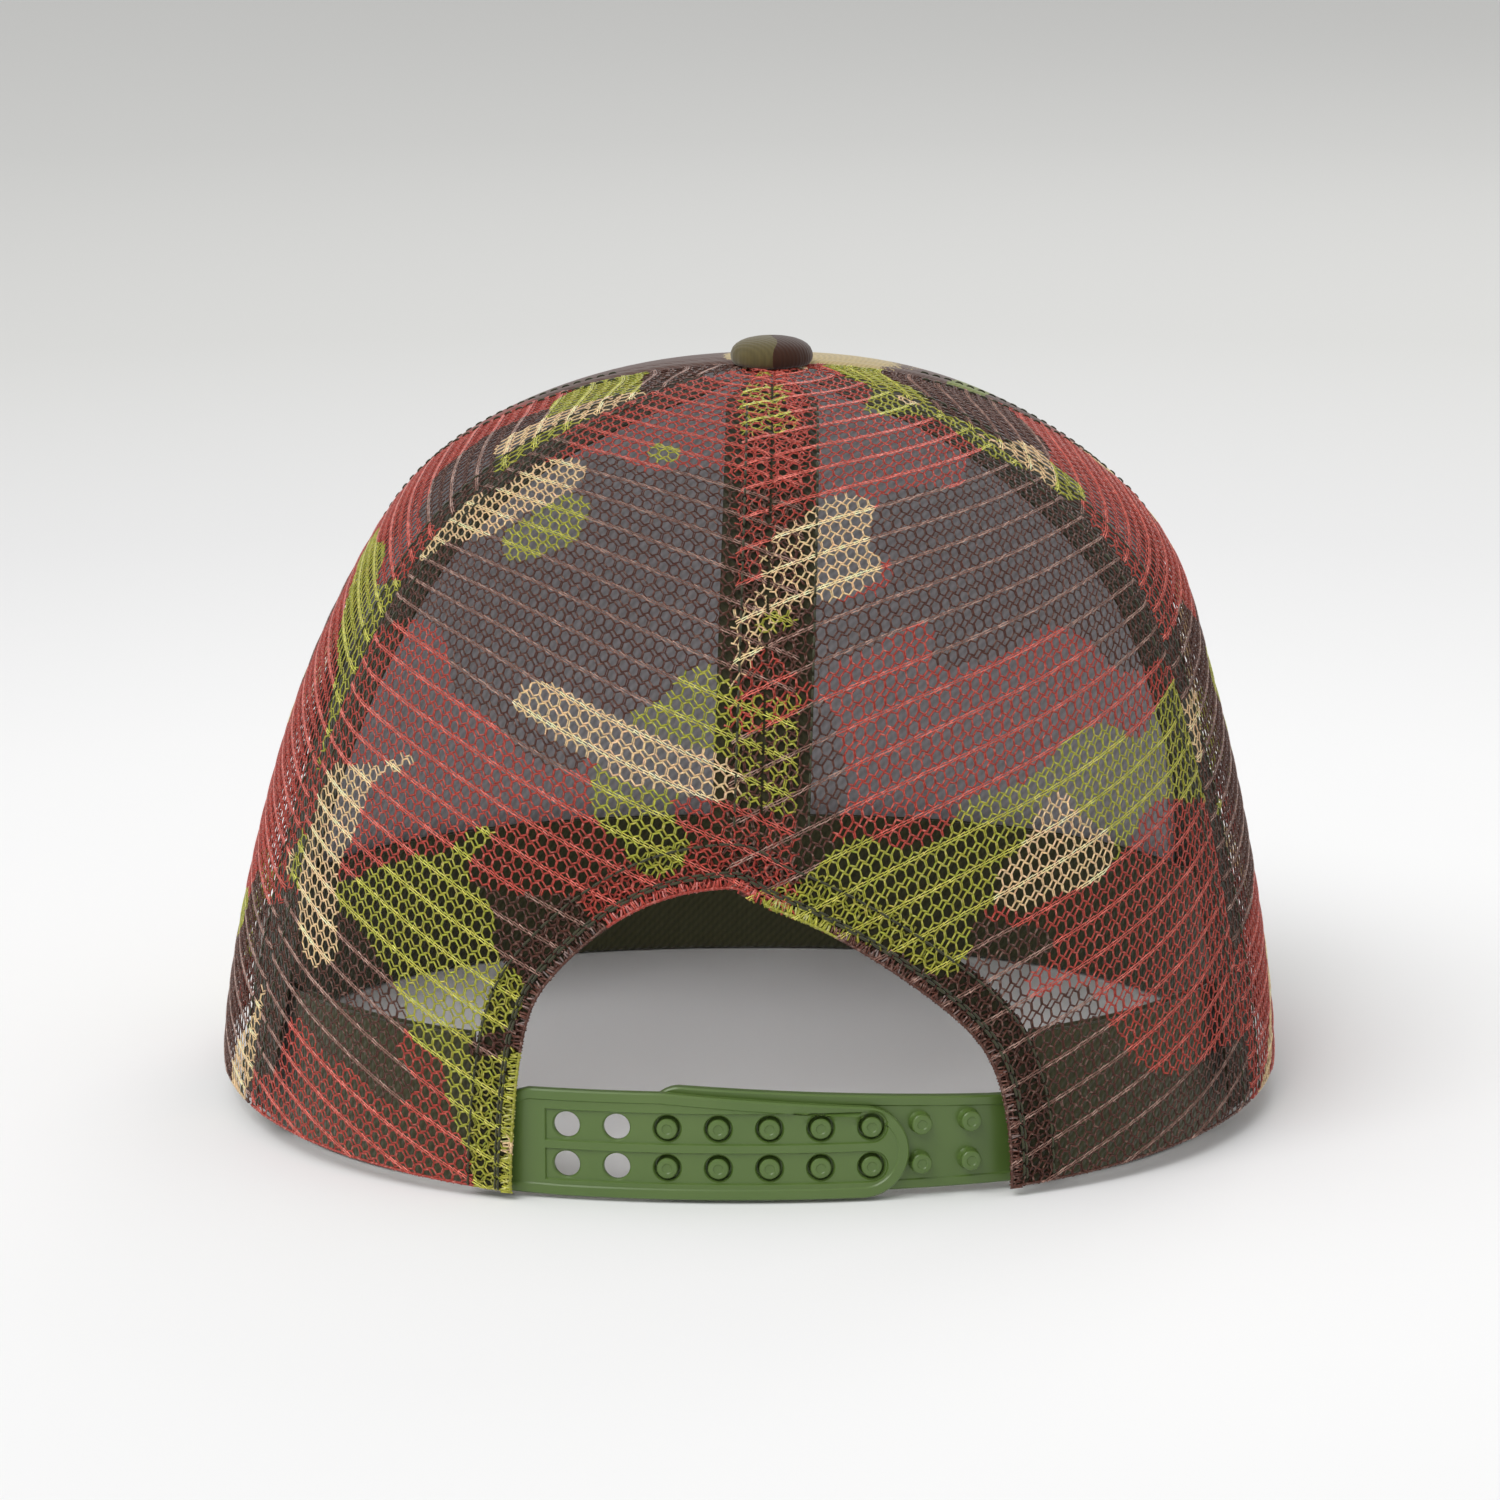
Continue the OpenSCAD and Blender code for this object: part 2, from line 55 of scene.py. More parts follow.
# ------------------------------------------------------------------ crown surface
# A place on the crown is an angle in degrees (0 back, 90 +X, 180 front) and a rise
# from 0 at the rim to 1 at the apex.
HALF_WIDTH, HALF_LENGTH, CROWN_HEIGHT = 100.0, 100.0, 136.0
APEX_X, APEX_Y = 4.5, -2.5
PLAN_POWER = 2.3  # 2 would be an ellipse, more is squarer
SIDE_POWER = 5.0  # squareness of the side profile
SIDE_TAPER = 0.0022
SEAM_BACK, SEAM_SIDE, SEAM_FRONT = (0.0, 0.0), (64.0, 56.0), (121.0, 106.0)  # at rim, apex
SEAM_CLOTH = 150  # cloth mm from rim to apex in the weave maps
OPENING_HALF, OPENING_EXTRA = 43.0, 3.0  # half width on the left; how much wider on the right
BINDING_WIDTH = 8.6
EDGE_FLOOR = 0.9  # lowest z of the hem band
DEGREE = np.radians(1)


def sind(angle):
    return np.sin(np.radians(angle))


def cosd(angle):
    return np.cos(np.radians(angle))


def unit(vectors):
    return vectors / np.maximum(np.linalg.norm(vectors, axis=-1, keepdims=True), 1e-9)


def run_length(points):
    """Distance from the first point to each point along a path."""
    return np.concatenate([[0], np.cumsum(np.linalg.norm(np.diff(points, axis=0), axis=1))])


def lerp(pair, share):
    return pair[0] + (pair[1] - pair[0]) * share


def around(angle, side, back, front):
    """A value that changes smoothly between the sides, back and front of the crown."""
    c, s = cosd(angle), sind(angle)
    return side * (s * s) + back * np.where(c > 0, c * c, 0) + front * np.where(c < 0, c * c, 0)


def profile_power(angle):
    return around(angle, side=SIDE_POWER, back=4.3, front=5.5)


def rim_height(angle):
    return around(angle, side=5.0, back=0.0, front=8.0) + 0.4


def plan_radius(angle):
    across = (np.abs(sind(angle)) / HALF_WIDTH) ** PLAN_POWER
    return (across + (np.abs(cosd(angle)) / HALF_LENGTH) ** PLAN_POWER) ** (-1 / PLAN_POWER)


def crown(angle, rise):
    """Points on the crown's outer surface."""
    angle, rise = np.broadcast_arrays(np.asarray(angle, float), np.asarray(rise, float))
    power, rim = profile_power(angle), rim_height(angle)
    taper = around(angle, side=SIDE_TAPER, back=0.0013, front=0.0005)
    turn = np.radians(90) * np.clip(rise, 0, 1) ** (power / 2)
    share = np.sin(turn) ** (2 / power)
    z = CROWN_HEIGHT * share
    sine = sind(angle)
    # each side bulges a little, at its own height
    bulge = sine * sine * np.where(sine < 0, 0.060 * np.exp(-((share - 0.877) / 0.13) ** 2),
                                   0.050 * np.exp(-((share - 0.758) / 0.13) ** 2))
    radius = plan_radius(angle) * (1 - taper * z * z / (z + 25)) * (1 + bulge) * np.cos(turn)
    return np.stack([radius * sine + APEX_X * share ** 1.5,
                     -radius * cosd(angle) + APEX_Y * share * share,
                     rim + (CROWN_HEIGHT - rim) * share], -1)


def crown_normal(angle, rise):
    angle, rise = np.broadcast_arrays(np.asarray(angle, float), np.asarray(rise, float))
    below, above = np.maximum(rise - 0.004, 0), np.minimum(rise + 0.004, 0.999)
    return unit(np.cross(crown(angle + 0.4, rise) - crown(angle - 0.4, rise),
                         crown(angle, above) - crown(angle, below)))


def under(angle, rise, depth):
    """Points at a depth in mm below the crown surface."""
    return crown(angle, rise) - np.asarray(depth, float)[..., None] * crown_normal(angle, rise)


def rise_at_z(angle, z):
    power, rim = profile_power(angle), rim_height(angle)
    share = np.clip((z - rim) / (CROWN_HEIGHT - rim), 0, 1)
    return (np.degrees(np.arcsin(share ** (power / 2))) / 90) ** (2 / power)


def axis_radius(angle, rise):
    """Distance of a crown point from the upright line through the apex."""
    point = crown(angle, rise)
    return np.hypot(point[..., 0] - APEX_X, point[..., 1] - APEX_Y)


def beside(angle, rise, distance):
    """The angle of a place some mm along the crown from another."""
    return angle + np.degrees(distance / np.maximum(axis_radius(angle, rise), 3))


def angle_at_x(x):
    """The angle on the back half of the rim plan at x."""
    x = np.asarray(x, float)
    y = HALF_LENGTH * (1 - np.minimum(np.abs(x) / HALF_WIDTH, 1) ** PLAN_POWER) ** (1 / PLAN_POWER)
    return np.degrees(np.arctan2(x, y))


# the panels and seams end about 2 mm from the apex
TOP_RADIUS = plan_radius(90.0) * (1 - SIDE_TAPER * 110)
RISE_TOP = float((np.degrees(np.arccos(2 / TOP_RADIUS)) / 90) ** (2 / SIDE_POWER))


# ------------------------------------------------------------------ rear opening
def arch_edge(side):
    return OPENING_HALF if side < 0 else OPENING_HALF + OPENING_EXTRA


def arch_z(x, side):
    """Height of the opening's edge at a distance x from the middle."""
    end = np.minimum(x / arch_edge(side), 1)
    if side < 0:
        curve = 56.8 - 8.9 * (np.minimum(x, OPENING_HALF) / 30) ** 2.75
        return curve * np.maximum(1 - end ** 40, 0) ** (1 / 3)
    return (54 - 0.31 * x - 0.0074 * x * x) * np.maximum(1 - end ** 18, 0) ** 0.364


def arch_path(step=1.0):
    """The opening's edge as x, z points up the left side, over and down the right, evenly
    spaced, and its outward directions."""
    spread = np.sin(np.linspace(0, np.pi / 2, 160))
    left, right = (np.stack([side * arch_edge(side) * spread,
                             arch_z(arch_edge(side) * spread, side)], -1) for side in (-1, 1))
    path = np.concatenate([[[-OPENING_HALF, 0.4]], left[::-1][1:], right[1:][:-1],
                           [[arch_edge(1), 0.4]]])
    # the two sides meet in a short slope
    ease = np.exp(-(path[:, 0] / 4.0) ** 2)
    path[:, 1] = path[:, 1] * (1 - ease) + ease * (54.4 - 0.45 * path[:, 0])
    length = run_length(path)
    places = np.linspace(0, length[-1], int(length[-1] / step) + 1)
    path = np.stack([np.interp(places, length, path[:, i]) for i in (0, 1)], -1)
    along = unit(np.gradient(path, axis=0))
    return path, np.stack([-along[:, 1], along[:, 0]], -1)


ARCH, ARCH_OUT = arch_path()


def at_back(x, z, depth):
    """Points at a depth below the back of the crown, from x and z."""
    angle = angle_at_x(x)
    return under(angle, rise_at_z(angle, z), depth)


def back_normal(x, z):
    angle = angle_at_x(x)
    return crown_normal(angle, rise_at_z(angle, z))


def arch_distance(points):
    """Distance in mm from the opening's edge, negative in the opening; 99 far from it."""
    x, y, z = points[..., 0], points[..., 1], points[..., 2]
    distance = np.full(x.shape, 99.0)
    near = (np.abs(x) < 62) & (z < 72) & (y < -40)
    close = points[near]
    if len(close):
        square = np.full(len(close), 1e9)
        for corner in at_back(ARCH[:, 0], ARCH[:, 1], 0.0):
            square = np.minimum(square, ((close - corner) ** 2).sum(-1))
        gap = np.sqrt(square)
        top = np.interp(close[:, 0], ARCH[1:-1, 0], ARCH[1:-1, 1], left=-1, right=-1)
        inside = ((close[:, 0] > -OPENING_HALF) & (close[:, 0] < arch_edge(1))
                  & (close[:, 2] < top))
        distance[near] = np.where(inside, -gap, gap)
    return distance


# ------------------------------------------------------------------ printed cloth
def linear(rgb):
    """Linear colour from 0-255 sRGB values."""
    share = np.array(rgb, float) / 255
    return np.where(share <= 0.04045, share / 12.92, ((share + 0.055) / 1.055) ** 2.4)


GREEN, TAN = linear((164, 164, 58)), linear((226, 194, 148))
RED, BROWN = linear((172, 66, 54)), linear((92, 54, 42))


class Waves:
    """A smooth random field: a sum of seeded waves about `size` mm long, drawn out by `stretch`
    and turned by `turn` degrees."""

    def __init__(self, seed, size, stretch, turn, count=34):
        random = np.random.RandomState(seed)
        heading = random.rand(count) * 2 * np.pi
        rate = 2 * np.pi / (size * (0.62 + 1.1 * random.rand(count)))
        along, across = rate * np.cos(heading) / stretch, rate * np.sin(heading)
        c, s = cosd(turn), sind(turn)
        self.rate_x, self.rate_y = along * c - across * s, along * s + across * c
        self.phase = random.rand(count) * 2 * np.pi
        self.weight = math.sqrt(2 / count)

    def at(self, x, y):
        total = np.zeros(np.broadcast(x, y).shape)
        for rate_x, rate_y, phase in zip(self.rate_x, self.rate_y, self.phase):
            total += np.cos(rate_x * x + rate_y * y + phase)
        return total * self.weight


RED_WAVES, EDGE_WAVES = Waves(205, 96, 1.8, 10), Waves(207, 21, 1.1, 0, 40)
GREEN_WAVES = Waves(223, 120, 1.4, -30), Waves(231, 72, 1.2, 0)
TAN_WAVES = Waves(241, 115, 1.2, 55), Waves(247, 70, 1.2, 0)


def soft_min(first, second, sharpness=6.0):
    return -np.log(np.exp(-sharpness * first) + np.exp(-sharpness * second)) / sharpness


def layers(x, y):
    """How far inside the red, green and tan patches a place is; below 0 is outside."""
    rough = 0.085 * EDGE_WAVES.at(x, y)

    def streaks(waves, half_width, offset):
        band = half_width - np.abs(waves[0].at(x, y))
        return soft_min(band, waves[1].at(x, y) * 0.6 + offset) + rough - 0.02

    return (RED_WAVES.at(x, y) + 2 * rough + 0.05,
            streaks(GREEN_WAVES, half_width=0.42, offset=0.14),
            streaks(TAN_WAVES, half_width=0.38, offset=0.08))


def print_colour(x, y, shift):
    """Print colours at places on a panel whose cloth is cut with a shift in mm."""
    red, green, tan = layers(x + shift[0], y + shift[1])
    colour = np.broadcast_to(BROWN, red.shape + (3,)).copy()
    colour[red > 0], colour[green > 0], colour[tan > 0] = RED, GREEN, TAN
    return colour


# ------------------------------------------------------------------ materials
MATERIALS = {}


class Shader:
    """A node material. Inputs may be sockets, numbers or colours."""

    def __init__(self, name):
        material = bpy.data.materials.new(name)
        material.use_nodes = True
        self.tree = material.node_tree
        self.surface = self.tree.nodes["Principled BSDF"]
        MATERIALS[name] = material

    def new(self, kind, **settings):
        node = self.tree.nodes.new(kind)
        for key, value in settings.items():
            setattr(node, key, value)
        return node

    def feed(self, socket, value):
        if isinstance(value, (int, float)):
            socket.default_value = value
        elif isinstance(value, (tuple, np.ndarray)):
            socket.default_value = (*[float(part) for part in value[:3]], 1)
        else:
            self.tree.links.new(value, socket)

    def math(self, operation, *values):
        node = self.new("ShaderNodeMath", operation=operation)
        for i, value in enumerate(values):
            self.feed(node.inputs[i], value)
        return node.outputs[0]

    def times(self, value, factor):
        return self.math("MULTIPLY", value, factor)

    def scaled(self, value, gain, offset):
        return self.math("MULTIPLY_ADD", value, gain, offset)

    def mix(self, first, second, amount, mode="MIX"):
        node = self.new("ShaderNodeMix", data_type="RGBA", blend_type=mode)
        for i, value in ((0, amount), (6, first), (7, second)):
            self.feed(node.inputs[i], value)
        return node.outputs[2]

    def multiply(self, first, second):
        return self.mix(first, second, amount=1.0, mode="MULTIPLY")

    def shade(self, colour, tone, amount):
        """Part of the way from a colour to the colour times a tone."""
        return self.mix(colour, self.multiply(colour, tone), amount=amount)

    def place(self):
        return self.new("ShaderNodeTexCoord").outputs["Object"]

    def noise(self, scale, detail=3.0, roughness=0.5):
        node = self.new("ShaderNodeTexNoise")
        self.feed(node.inputs["Scale"], scale)
        self.feed(node.inputs["Detail"], detail)
        self.feed(node.inputs["Roughness"], roughness)
        self.feed(node.inputs["Vector"], self.place())
        return node.outputs[0]

    def wave(self, place, scale, direction, distortion):
        node = self.new("ShaderNodeTexWave", wave_type="BANDS", bands_direction=direction)
        self.feed(node.inputs["Scale"], scale)
        self.feed(node.inputs["Distortion"], distortion)
        self.feed(node.inputs["Detail Scale"], 2.0)
        self.feed(node.inputs["Vector"], place)
        return node.outputs["Fac"]

    def attribute(self, name, output="Fac"):
        return self.new("ShaderNodeAttribute", attribute_name=name).outputs[output]

    def twill(self, density):
        """Thread height both ways, from the weave UV map in cloth mm."""
        cloth = self.new("ShaderNodeUVMap", uv_map="weave").outputs[0]
        slant = self.wave(cloth, scale=density, direction="DIAGONAL", distortion=0.6)
        upright = self.wave(cloth, scale=density * 0.9, direction="X", distortion=0.4)
        return self.math("ADD", self.times(slant, factor=0.7), self.times(upright, factor=0.3))

    def bump(self, height, strength, distance):
        node = self.new("ShaderNodeBump")
        self.feed(node.inputs["Strength"], strength)
        self.feed(node.inputs["Distance"], distance)
        self.feed(node.inputs["Height"], height)
        self.feed(self.surface.inputs["Normal"], node.outputs[0])

    def set(self, **values):
        for key, value in values.items():
            self.feed(self.surface.inputs[key.replace("_", " ")], value)


def net_cord():
    """Glossy cord in the colours of Col, with scattered paler spots painted into its colour as
    painted glints.
    """
    shader = Shader("net_cord")
    cloth = shader.attribute("Col", "Color")
    tone = shader.scaled(shader.noise(scale=900, detail=2), gain=0.9, offset=0.55)
    base = shader.shade(cloth, tone, amount=0.6)
    # painted highlights: noise picks scattered spots where the cord colour is made paler, as
    # painted glints
    painted_glint_spots = shader.scaled(shader.noise(scale=1500, detail=0), gain=7.0, offset=-4.1)
    painted_glint_spots = shader.math("MINIMUM", shader.math("MAXIMUM", painted_glint_spots, 0.0), 1.0)
    # glint is the painted highlight colour: the cord colour made paler
    glint = shader.mix(shader.multiply(base, (1.25, 1.2, 1.2)), (0.20, 0.155, 0.13),
                       amount=1.0, mode="ADD")
    shader.set(Base_Color=shader.mix(base, glint, amount=shader.times(painted_glint_spots, factor=0.5)),
               Roughness=0.30, Specular_IOR_Level=0.36, Sheen_Weight=0.02, Sheen_Roughness=0.4)
    shader.bump(shader.noise(scale=2600, detail=2), strength=0.25, distance=0.00008)


def printed_cloth(name, brown, red, green, tan, density, relief):
    """Twill whose colours follow the three patch attributes."""
    shader = Shader(name)
    noise = shader.noise(scale=1500, detail=1)
    fuzz = shader.times(shader.math("SUBTRACT", noise, 0.5), factor=0.16)
    colour = linear(brown)
    for patch, rgb in (("patch_red", red), ("patch_green", green), ("patch_tan", tan)):
        depth = shader.math("ADD", shader.attribute(patch), fuzz)
        colour = shader.mix(colour, linear(rgb), amount=shader.math("GREATER_THAN", depth, 0.0))
    twill = shader.twill(density)
    colour = shader.shade(colour, shader.scaled(twill, gain=0.7, offset=0.35), amount=0.32)
    wear = shader.scaled(shader.noise(scale=60, detail=4), gain=0.9, offset=0.5)
    shader.set(Base_Color=shader.shade(colour, wear, amount=0.25), Roughness=0.82,
               Specular_IOR_Level=0.25, Sheen_Weight=0.25, Sheen_Roughness=0.5)
    fibres = shader.times(shader.noise(scale=1200, detail=2), factor=0.5)
    shader.bump(shader.math("ADD", twill, fibres), strength=relief, distance=0.00022)


def plain_cloth(name, rgb, density, roughness=0.88, sheen=0.3, relief=0.5, mottle=0.3,
                mottle_scale=70):
    """Twill in one mottled colour."""
    shader = Shader(name)
    base = linear(rgb)
    twill = shader.twill(density)
    colour = shader.mix(base * (1 - mottle), np.minimum(base * (1 + mottle), 1),
                        amount=shader.noise(scale=mottle_scale, detail=4, roughness=0.6))
    colour = shader.shade(colour, shader.scaled(twill, gain=0.8, offset=0.3), amount=0.4)
    shader.set(Base_Color=colour, Roughness=roughness, Specular_IOR_Level=0.25,
               Sheen_Weight=sheen, Sheen_Roughness=0.5)
    fibres = shader.times(shader.noise(scale=1500, detail=2), factor=0.6)
    shader.bump(shader.math("ADD", twill, fibres), strength=relief, distance=0.0003)


def olive_thread():
    shader = Shader("olive_thread")
    shader.set(Base_Color=shader.mix(linear((34, 36, 18)), linear((66, 66, 36)),
                                     amount=shader.noise(scale=500, detail=2)),
               Roughness=0.6, Specular_IOR_Level=0.35, Sheen_Weight=0.2)
    twist = shader.wave(shader.place(), scale=420, direction="DIAGONAL", distortion=1.0)
    shader.bump(twist, strength=0.5, distance=0.0001)


def strap_plastic():
    shader = Shader("strap_plastic")
    scuffs = shader.scaled(shader.noise(scale=160, detail=4), gain=0.14, offset=0.26)
    shader.set(Base_Color=shader.mix(linear((74, 100, 42)), linear((92, 114, 56)),
                                     amount=shader.noise(scale=45, detail=3)),
               Roughness=scuffs, Specular_IOR_Level=0.5, Subsurface_Weight=0.08,
               Subsurface_Scale=0.002, Coat_Weight=0.1)
    shader.surface.inputs["Subsurface Radius"].default_value = (0.9, 1.0, 0.5)
    shader.bump(shader.noise(scale=700, detail=3), strength=0.08, distance=0.0001)


def pressed_metal():
    shader = Shader("pressed_metal")
    shader.set(Base_Color=shader.mix((0.42, 0.42, 0.43), (0.62, 0.62, 0.63),
                                     amount=shader.noise(scale=300, detail=4)),
               Metallic=1.0,
               Roughness=shader.scaled(shader.noise(scale=500, detail=4), gain=0.2, offset=0.25))
    shader.bump(shader.noise(scale=1400, detail=3), strength=0.1, distance=0.0001)


def moulded_board():
    shader = Shader("moulded_board")
    shader.set(Base_Color=shader.mix(linear((214, 212, 204)), linear((232, 231, 224)),
                                     amount=shader.noise(scale=120, detail=4)),
               Roughness=0.6)
    shader.bump(shader.noise(scale=700, detail=3), strength=0.1, distance=0.0001)


# painted light falloff on the floor: distance from the middle in metres, sRGB grey level
FLOOR_FALLOFF_GREYS = [(0.0, 251), (0.126, 250), (0.325, 243), (0.592, 227), (0.969, 210),
               (1.545, 198), (2.2, 195)]
FLOOR_GAIN = 0.93


def floor_paper():
    """Paper with painted light falloff: its colour darkens away from the middle."""
    shader = Shader("floor_paper")
    distance = shader.new("ShaderNodeVectorMath", operation="LENGTH")
    shader.feed(distance.inputs[0], shader.place())
    ramp = shader.new("ShaderNodeValToRGB")
    reach = FLOOR_FALLOFF_GREYS[-1][0]
    shader.feed(ramp.inputs[0], shader.math("DIVIDE", distance.outputs["Value"], reach))
    elements = ramp.color_ramp.elements
    for i, (place, grey) in enumerate(FLOOR_FALLOFF_GREYS):
        stop = elements[i] if i < 2 else elements.new(place / reach)
        stop.position = place / reach
        # the darker greys of the painted falloff are slightly warm
        stop.color = (*linear((grey, grey, grey - (2 if grey < 215 else 0))), 1)
    shader.set(Base_Color=shader.multiply(ramp.outputs[0], (FLOOR_GAIN,) * 3),
               Roughness=0.75, Specular_IOR_Level=0.12)
    shader.bump(shader.noise(scale=30, detail=4), strength=0.02, distance=0.001)


net_cord()
printed_cloth("printed_twill", brown=(84, 56, 46), red=(128, 58, 48), green=(118, 130, 50),
              tan=(186, 165, 114), density=0.36, relief=0.45)
printed_cloth("button_twill", brown=(58, 29, 12), red=(90, 44, 30), green=(94, 84, 50),
              tan=(150, 130, 84), density=0.55, relief=0.25)
plain_cloth("grey_knit", (198, 196, 201), density=0.30, roughness=0.8, sheen=0.2, relief=0.35,
            mottle=0.08)
plain_cloth("olive_tape", (56, 54, 33), density=0.42, roughness=0.9, sheen=0.25, relief=0.8,
            mottle=0.25)
plain_cloth("olive_twill", (72, 78, 44), density=0.40)
plain_cloth("band_cotton", (78, 78, 52), density=0.34, roughness=0.92, sheen=0.35, relief=0.6,
            mottle=0.2)
plain_cloth("felt_strip", (226, 225, 220), density=0.2, roughness=0.95, sheen=0.5, relief=0.3,
            mottle=0.05, mottle_scale=240)
olive_thread()
strap_plastic()
pressed_metal()
moulded_board()
floor_paper()


# ------------------------------------------------------------------ mesh helpers
def build(piece, suffix, points, faces, material, body="crown", also_replaces=(),
          colours=None, weave=None, chart=None, patches=None):
    """An object that stands in for a CAD piece. Points are in mm and faces is a list of index
    arrays; colours, weave, chart and patches hold one value per point."""
    points = np.asarray(points, float).reshape(-1, 3) / 1000
    mesh = bpy.data.meshes.new(f"{piece}_{suffix}")
    corners = np.concatenate([group.ravel() for group in faces]).astype(np.int32)
    sizes = np.concatenate([np.full(len(group), group.shape[1]) for group in faces])
    starts = np.concatenate([[0], np.cumsum(sizes)[:-1]]).astype(np.int32)
    mesh.vertices.add(len(points))
    mesh.vertices.foreach_set("co", points.astype(np.float32).ravel())
    mesh.loops.add(len(corners))
    mesh.loops.foreach_set("vertex_index", corners)
    mesh.polygons.add(len(sizes))
    mesh.polygons.foreach_set("loop_start", starts)
    mesh.update(calc_edges=True)
    mesh.validate(clean_customdata=False)
    mesh.polygons.foreach_set("use_smooth", np.full(len(mesh.polygons), True))
    index = np.zeros(len(mesh.loops), np.int32)
    mesh.loops.foreach_get("vertex_index", index)

    def add_uv(name, places):
        uv = np.asarray(places, np.float32)[index].ravel()
        mesh.uv_layers.new(name=name).data.foreach_set("uv", uv)

    if weave is not None:
        add_uv("weave", weave)
    if chart is not None:
        low, high = chart.min(0), chart.max(0)
        add_uv("OFBake", 0.01 + 0.98 * (chart - low) / (high - low).max())
    if colours is not None:
        layer = mesh.color_attributes.new(name="Col", type="FLOAT_COLOR", domain="POINT")
        rgba = np.concatenate([colours, np.ones((len(colours), 1))], 1)
        layer.data.foreach_set("color", rgba.astype(np.float32).ravel())
    if patches is not None:
        for name, depth in zip(("patch_red", "patch_green", "patch_tan"), patches):
            layer = mesh.attributes.new(name, "FLOAT", "POINT")
            layer.data.foreach_set("value", np.asarray(depth, np.float32).ravel())
    mesh.materials.append(MATERIALS[material])
    obj = bpy.data.objects.new(f"{piece}_{suffix}", mesh)
    bpy.context.scene.collection.objects.link(obj)
    if body:
        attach(obj, body)
    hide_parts(piece, *also_replaces)
    return obj


def tidy(obj, split_angle=None, weld=False):
    """Turns the faces of a closed mesh outward and splits its edges sharper than an angle."""
    mesh = bmesh.new()
    mesh.from_mesh(obj.data)
    if weld:
        bmesh.ops.remove_doubles(mesh, verts=mesh.verts, dist=1e-5)
    bmesh.ops.recalc_face_normals(mesh, faces=mesh.faces)
    mesh.to_mesh(obj.data)
    mesh.free()
    if split_angle:
        modifier = obj.modifiers.new("edges", "EDGE_SPLIT")
        modifier.split_angle = math.radians(split_angle)


def shell(outer, inner):
    """Closed shell between two grids of points: points and faces."""
    points = np.concatenate([outer.reshape(-1, 3), inner.reshape(-1, 3)])
    count = len(points) // 2
    index = np.arange(count).reshape(outer.shape[:2])
    a, b, c, d = (part.ravel() for part in
                  (index[:-1, :-1], index[1:, :-1], index[1:, 1:], index[:-1, 1:]))
    faces = [np.stack([a, b, c, d], 1), np.stack([a, d, c, b], 1) + count]
    for edge in (index[:, 0], index[::-1, -1], index[-1, :], index[0, ::-1]):
        start, end = edge[:-1], edge[1:]
        faces.append(np.stack([end, start, start + count, end + count], 1))
    return points, [np.concatenate(faces)]


def ring_angles(count):
    return np.linspace(0, 2 * np.pi, count, endpoint=False)


def prism_faces(count, rings, sides):
    """Faces of separate capped prisms, each with its rings of corners in turn."""
    base = (np.arange(count) * rings * sides)[:, None]
    quads = []
    for j in range(rings - 1):
        for k in range(sides):
            here, beyond = base + j * sides + k, base + j * sides + (k + 1) % sides
            quads.append(np.concatenate([here, beyond, beyond + sides, here + sides], 1))
    ring = np.arange(sides)
    caps = np.concatenate([base + ring[::-1], base + (rings - 1) * sides + ring])
    return [np.concatenate(quads), caps]


def turned_faces(rings, sides, closed):
    """Quads between rings of points; closed joins the last ring to the first."""
    index = np.arange(rings * sides).reshape(rings, sides)
    beyond = np.roll(index, -1, 1)
    quads = np.stack([index, beyond, np.roll(beyond, -1, 0), np.roll(index, -1, 0)], -1)
    return (quads if closed else quads[:-1]).reshape(-1, 4)


def tubes(starts, ends, normals, width, height, sides, grow):
    """Separate capped prisms, flat against the normals and lengthened at both ends by grow."""
    along = unit(ends - starts)
    across = unit(np.cross(along, normals))
    up = np.cross(across, along)
    starts, ends = starts - along * grow, ends + along * grow
    ring = ring_angles(sides)[None, :, None]
    offset = (across[:, None] * np.cos(ring) * width / 2
              + up[:, None] * np.sin(ring) * height / 2)
    points = np.concatenate([starts[:, None] + offset, ends[:, None] + offset], 1)
    return points.reshape(-1, 3), prism_faces(len(starts), 2, sides)


def merge(items):
    """Joins (points, faces) pairs into one pair."""
    points, groups, count = [], {}, 0
    for item_points, faces in items:
        for group in faces:
            groups.setdefault(group.shape[1], []).append(group + count)
        points.append(item_points)
        count += len(item_points)
    return np.concatenate(points), [np.concatenate(groups[size]) for size in sorted(groups)]


def resample(path, normals, step):
    length = run_length(path)
    places = np.linspace(0, length[-1], max(int(round(length[-1] / step)), 1) + 1)
    path, normals = (np.stack([np.interp(places, length, values[:, i]) for i in range(3)], -1)
                     for values in (path, normals))
    return path, unit(normals)


# stations of one stitch: share of its length, share of full thickness, share of the sink
STITCH_PROFILE = np.array([(0.0, 0.25, 1.0), (0.06, 0.7, 0.55), (0.2, 0.95, 0.12), (0.5, 1.0, 0),
                           (0.8, 0.95, 0.12), (0.94, 0.7, 0.55), (1.0, 0.25, 1.0)])


